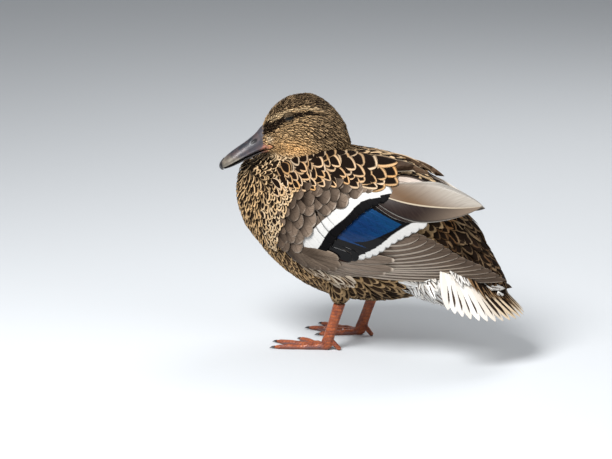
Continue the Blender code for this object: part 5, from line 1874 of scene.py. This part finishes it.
bill_half("bill_top", UPPER_BILL, 2.1, 2.0, bill_finish("upper_bill_horn"), ["bill_upper"])
bill_half("bill_floor", LOWER_BILL, 2.0, 2.4, bill_finish("lower_bill_horn", lower=True), ["bill_lower"])


NAIL_PROFILE = [(44.0, 2.3), (47.0, 1.3), (50.0, -0.1), (52.0, -1.9), (52.9, -4.2), (52.5, -6.6)]
NAIL_GRID = (24, 20)


def shell_mesh(name, outer, inner):
    """A thin closed shell between two grids of points."""
    rows, columns = outer.shape[:2]
    size = rows * columns
    faces = []
    for i in range(rows - 1):
        for a in range(i * columns, (i + 1) * columns - 1):
            faces.append((a, a + 1, a + columns + 1, a + columns))
            faces.append((size + a, size + a + columns, size + a + columns + 1, size + a + 1))
    border = [*range(columns), *range(2 * columns - 1, size, columns)]
    border += [*range(size - 2, size - columns - 1, -1), *range(size - 2 * columns, 0, -columns)]
    for a, b in zip(border, border[1:] + border[:1]):
        faces.append((a, size + a, size + b, b))
    return closed_mesh(name, np.concatenate([outer.reshape(-1, 3), inner.reshape(-1, 3)]), faces)


def nail_mesh():
    """A small hard shield over the bill's tip, hooked down over its edge."""
    rows, columns = NAIL_GRID
    profile = along_line(NAIL_PROFILE, rows)
    share = np.linspace(0, 1, rows)[:, None]
    along, top = profile[:, :1], profile[:, 1:]
    aside = np.linspace(-1, 1, columns)[None]
    across = 5.2 * aside * np.sqrt(np.maximum(1 - ((share - 0.50) / 0.60) ** 2, 0.03))
    drop = (2.1 - 1.5 * share) * aside**2
    rim = np.clip((1 - aside**2) * 2.5, 0, 1)
    back = 1.6 * aside**2 * share
    outer = bill_spots(along - back + 0.3 * share, across, top - drop + 0.25 + 0.35 * rim * (1 - share))
    inner = bill_spots(along - back - 1.2 * share, across * 0.96, top - drop - 0.9 * (1 - share))
    return shell_mesh("bill_nail_shield", outer, inner)


dressed("bill_nail_shield", nail_mesh(), nail_finish(), "nail_horn", ["bill_nail"])

# ---------------------------------------------------------------- corners of the mouth
# A fold of bare orange skin runs from the bill's edge back into the cheek on each side.

GAPE = (43.0, 9.6, -18.6)  # forward, aside and up from the head's middle
GAPE_WAY = (-0.9, 0.15, 0.40)
GAPE_SIZES = (12.0, 5.8, 0.9, 0.0, 0.25)  # length, width, depth at its root, rise at its tip, bow
GAPE_GRID = (12, 8)


def gape_finish():
    finish = Finish("gape_skin", Roughness=0.45, Coat_Weight=0.2)
    along, aside, _ = finish.parts(finish.attribute("vane"))
    grain = finish.noise(700.0, 3.0)
    body = finish.mix((along + grain * 0.3).eased(0.25, 0.8), (0.36, 0.17, 0.14), (0.62, 0.27, 0.12))
    # A dark line along the fold: painted shade in its crease.
    crease = abs(aside - 0.15).eased(0.22, 0.05) * along.eased(0.2, 0.5)
    body = finish.mix(crease * 0.8, body, (0.10, 0.02, 0.015))
    return finish.shade(Base_Color=body, Normal=finish.bump(grain - crease, 0.5, 0.0004))


gape_look = gape_finish()
for word, side in SIDES.items():
    root = np.array([head_spot(GAPE[0], GAPE[1] * side, GAPE[2])])
    way = unit(np.array([head_way(GAPE_WAY[0], GAPE_WAY[1] * side, GAPE_WAY[2])]))
    sizes = [size * np.ones(1) * MM for size in GAPE_SIZES]
    grid, tips = laid_vanes(root, way, *sizes, (1.7, 0.8, 0.9), *GAPE_GRID, np.zeros(1))
    mesh = vane_mesh(f"gape_{word}", grid, tips, *GAPE_GRID, {"chance": np.zeros(1)}, unwrapped(root))
    dressed(f"gape_{word}", mesh, gape_look, "bill")

# ---------------------------------------------------------------- eyes and lids
# Glossy dark brown eyes, half closed.  Each lid is a thin fold of skin over the ball, with rows of
# minute feathers on it and a pale bare edge.

EYE = {"forward": 15.2, "up": 15.2, "out": 16.9, "radius": 4.9}
LID_RADIUS = 5.25
SLIT_TILT = math.radians(-14.0)
SLIT_HALF = math.radians(68.0)
LID_GRID = (14, 40)
LID_SKIN = (0.03, 0.020, 0.014)
LID_FEATHERS = {True: (0.17, 0.115, 0.065), False: (0.13, 0.09, 0.05)}  # upper, lower
LID_ROWS = {True: (26, 42, 58, 72), False: (-30, -44, -58, -72)}


def eye_spots(word, back, up, radius):
    """Frame points about an eye: angles backward and up from its outward axis."""
    s, c = math.sin(SLIT_TILT), math.cos(SLIT_TILT)
    turned_back, turned_up = back * c + up * s, up * c - back * s
    forward = EYE["forward"] - radius * np.sin(turned_back) * np.cos(turned_up)
    across = SIDES[word] * (EYE["out"] + radius * np.cos(turned_back) * np.cos(turned_up))
    return head_spots(forward, across, EYE["up"] + radius * np.sin(turned_up))


def slit(back, upper):
    """Height, as an angle, of a lid's edge at each place along the slit."""
    open_share = np.maximum(1 - (back / SLIT_HALF) ** 2, 0.0)
    return math.radians(2.0) + math.radians(16.0 if upper else -20.0) * open_share**0.7


def lid_mesh(word, upper):
    """A fold of skin over the ball, thin at its edge, with a soft roll just behind the edge."""
    rows, columns = LID_GRID
    share = np.linspace(0, 1, rows)[:, None]
    back = np.linspace(-math.radians(84), math.radians(84), columns)[None]
    start, end = slit(back, upper), math.radians(80.0 if upper else -80.0)
    up = start + (end - start) * share
    thick = 0.55 * np.clip(share * 6, 0.25, 1)
    fold = 0.25 * np.exp(-(((share - 0.07) / 0.06) ** 2))
    outer = eye_spots(word, back, up, LID_RADIUS + thick * 0.5 + fold)
    mesh = shell_mesh("lid", outer, eye_spots(word, back, up, LID_RADIUS - 0.2))
    store(mesh, "rim", np.tile(np.repeat(1 - np.clip(share * 9, 0, 1), columns), 2), "FLOAT")
    return mesh


def lid_finish(name, rim_colour):
    finish = Finish(name, Roughness=0.6, Specular_IOR_Level=0.1)
    grain = finish.noise(1400.0, 3.0)
    body = finish.mix(grain.eased(0.3, 0.7), LID_SKIN, (0.05, 0.035, 0.022))
    body = finish.mix(finish.measure("rim"), body, rim_colour)
    return finish.shade(Base_Color=body, Normal=finish.bump(grain, 0.5, 0.0003))


def eye_finish():
    """A dark pupil, a deep brown iris with faint rays, and a darker ring round it."""
    finish = Finish("eye", Roughness=0.05, Coat_Weight=0.12, Specular_IOR_Level=0.15)
    away = finish.measure("away")
    rays = finish.noise(1500.0, 2.0)
    iris = finish.mix(rays.eased(0.35, 0.65), (0.005, 0.0025, 0.0015), (0.013, 0.006, 0.003))
    body = finish.mix(away.eased(0.42, 0.48), (0.002, 0.002, 0.002), iris)
    body = finish.mix(away.eased(0.86, 0.95), body, (0.01, 0.006, 0.005))
    return finish.shade(Base_Color=body)


def eyeball_mesh(word):
    mesh = bpy.data.meshes.new("eyeball")
    shape = bmesh.new()
    bmesh.ops.create_uvsphere(shape, u_segments=40, v_segments=24, radius=EYE["radius"] * MM)
    centre = head_spot(EYE["forward"], SIDES[word] * EYE["out"], EYE["up"])
    bmesh.ops.translate(shape, verts=shape.verts[:], vec=centre)
    shape.to_mesh(mesh)
    shape.free()
    outward = head_way(0.0, SIDES[word], 0.0)
    from_middle = unit(places_of(mesh) - np.array(centre))
    along_axis = np.clip((from_middle * outward).sum(-1), -1, 1)
    store(mesh, "away", np.arccos(along_axis) / (math.pi / 2), "FLOAT")
    mesh.shade_smooth()
    return mesh


eye_look = eye_finish()
lid_looks = {
    True: lid_finish("upper_lid_skin", (0.36, 0.28, 0.20)),
    False: lid_finish("lower_lid_skin", (0.030, 0.022, 0.016)),
}


def lid_row(upper):
    """Minute feathers over a lid, in rows along it."""
    rows = []
    for k, height in enumerate(LID_ROWS[upper]):
        level = math.radians(height)
        span = 1.25 - 0.13 * k
        rows.append(row_of(
            [(-span - 0.22, level * 0.96), (span - 0.42, level * 0.96)],
            [(-span + 0.14, level), (span, level)],
            13, 0.30, (0.25, 0.75), 0.03, 94 + k,
        ))
    fine = together(*rows)
    return marked_row(fine["root"], fine["tip"], fine["width"], fine["lift"],
                      ground=LID_FEATHERS[upper], mark=DARK, form=(0.6, -0.2, 0.9))


def lid_pieces(word, upper):
    def placed(back, level, height):
        return eye_spots(word, back, level, LID_RADIUS + height)

    lid = "upper_lid" if upper else "lower_lid"
    dressed(f"{lid}_{word}", lid_mesh(word, upper), lid_looks[upper], "plumage_over_flesh")
    row_piece(f"{lid}_feathers_{word}", placed, lid_row(upper), contour_finish, "plumage_over_flesh",
              95, [], 4, 2, (2.2, 0.35, 0.55), 0.4, mirrored=word == "right")


for word in SIDES:
    dressed(f"eyeball_{word}", eyeball_mesh(word), eye_look, "eye", [f"eye_{word}"])
    for upper in (True, False):
        lid_pieces(word, upper)

# ---------------------------------------------------------------- legs and feet
# Bare scaly legs, orange, with painted shade in the creases between their scales and near the floor.
# Thin purplish webs join the three front toes, a small hind toe hangs behind, and each toe ends in a short
# dark claw.

TOES = {"inner": (-29.0, 43.0), "middle": (-3.0, 56.0), "outer": (19.0, 53.0)}  # degrees, length
ANKLES = {"left": (31.0, -6.0), "right": (-34.0, 5.5)}
LEG_VOXEL = 0.75 * MM
CLAW_VOXEL = 0.28 * MM
CLAW_TAPER = 0.72
CLAW_LOSS = 2.2 * MM
CLAW_ROOM = 0.5 * MM  # how far outside a claw's box its points may lie
LEG_ORANGE = ((0.42, 0.095, 0.016), (0.20, 0.036, 0.009))
LEG_CREASE_SHADE = (0.13, 0.026, 0.010)
LEG_RING = (0.11, 0.022, 0.010)
LEG_GLOW = (0.52, 0.17, 0.05)
FLOOR_CONTACT_SHADE = (0.12, 0.035, 0.02)
WEB = ((0.075, 0.045, 0.060), (0.16, 0.070, 0.055))


def set_on_floor(mesh, places):
    """Moves the mesh's points to the places, none of them below the floor."""
    places[:, 2] = np.maximum(places[:, 2], 0.0)
    mesh.vertices.foreach_set("co", places.ravel())
    mesh.shade_smooth()


def leg_mesh(word):
    """A bare leg and foot that know how far each point lies from the toes."""
    mesh = melted(f"leg_{word}", [f"shank_{word}", f"foot_{word}"], LEG_VOXEL, 3)
    places = places_of(mesh)
    set_on_floor(mesh, places)
    flat = places[:, :2] / MM - np.array((0.0, TO_FRAME_Y / MM))
    ankle = np.array(ANKLES[word])
    nearest = np.full(len(places), np.inf)
    along_toe = np.zeros(len(places))
    for angle, length in TOES.values():
        turn = math.radians(angle)
        way = np.array((SIDES[word] * math.sin(turn), -math.cos(turn)))
        away = flat - ankle
        ahead = np.clip(away @ way, 0, length)
        gap = np.linalg.norm(away - ahead[:, None] * way, axis=-1)
        along_toe = np.where(gap < nearest, ahead, along_toe)
        nearest = np.minimum(nearest, gap)
    up = places[:, 2] / MM
    web = step_up(2.2, 3.6, nearest) * step_up(8.0, 5.5, up) * step_up(2.0, 8.0, along_toe)
    store(mesh, "leg", np.stack([web, up, along_toe], -1))
    return mesh


def leg_finish():
    finish = Finish("leg_skin", Coat_Weight=0.12)
    web, up, along = finish.parts(finish.attribute("leg"))
    blotch = finish.noise(150.0, 4.0)
    fine = finish.noise(900.0, 3.0)
    stretched = finish.node("ShaderNodeMapping", None, {"Vector": finish.place(), "Scale": (1.0, 1.0, 0.8)})
    scales = finish.node("ShaderNodeTexVoronoi", {"feature": "DISTANCE_TO_EDGE"}, {
        "Vector": stretched, "Scale": 520.0,
    })
    rings = finish.bands((up + along) * 0.09 + blotch * 0.10, Distortion=1.2, Detail=2.0)
    orange = finish.mix(blotch.eased(0.35, 0.68), *LEG_ORANGE)
    # Painted shade in the creases between the scales.
    orange = finish.mix(scales.eased(0.10, 0.02) * 0.55, orange, LEG_CREASE_SHADE)
    orange = finish.mix(rings.eased(0.25, 0.0) * 0.55, orange, LEG_RING)
    orange = finish.mix(fine.eased(0.62, 0.8) * 0.3, orange, LEG_GLOW)
    # Darker within a few millimetres of the floor: painted shade where the feet meet it.
    orange = finish.mix(up.eased(2.6, 0.6) * 0.5, orange, FLOOR_CONTACT_SHADE)
    body = finish.mix(web * 0.92, orange, finish.mix(blotch.eased(0.3, 0.7), *WEB))
    folds = finish.noise(420.0, 2.0) * web
    height = scales.eased(0.0, 0.22) * 0.6 + fine * 0.2 + folds * 0.6 + rings.eased(0.0, 0.4) * 0.6
    relief = finish.bump(height, 0.7, 0.0006)
    return finish.shade(Base_Color=body, Roughness=fine * 0.25 + 0.34, Normal=relief)


def claw_finish():
    finish = Finish("claw_horn", Coat_Weight=0.05)
    grain = finish.noise(900.0, 3.0)
    body = finish.mix(grain.eased(0.3, 0.7), (0.007, 0.005, 0.005), (0.028, 0.020, 0.016))
    relief = finish.bump(grain, 0.3, 0.0002)
    return finish.shade(Base_Color=body, Roughness=grain * 0.2 + 0.42, Normal=relief)


def sharpened(places, claws):
    """The claws' points drawn in towards the middle line of each, most of all at its tip."""
    moved = places.copy()
    ankle = np.array(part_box(claws[0].replace("claw", "shank").rsplit("_", 1)[0])[0])[:2]
    for node in claws:
        low, high = (np.array(corner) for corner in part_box(node))
        inside = ((places > low - CLAW_ROOM) & (places < high + CLAW_ROOM)).all(-1)
        middle = (low + high) / 2
        way = unit(np.append(middle[:2] - ankle, 0.0))
        along = (places[inside] - middle) @ way
        share = np.clip((along - along.min()) / (along.max() - along.min()), 0, 1)[:, None]
        core = middle + along[:, None] * way
        core[:, 2] = middle[2] * (1 - 0.5 * share[:, 0])
        moved[inside] = core + (places[inside] - core) * (1 - CLAW_TAPER * share) - way * CLAW_LOSS * share
    return moved


leg_look, claw_look = leg_finish(), claw_finish()
for word in SIDES:
    dressed(f"leg_{word}", leg_mesh(word), leg_look, "leg_skin", [f"shank_{word}", f"foot_{word}"])
    claws = [f"claw_{word}_{toe}" for toe in ("inner", "middle", "outer", "hind")]
    claw_mesh = melted(f"claws_{word}", claws, CLAW_VOXEL, 2)
    set_on_floor(claw_mesh, sharpened(places_of(claw_mesh), claws))
    dressed(f"claws_{word}", claw_mesh, claw_look, "claw_horn", claws)
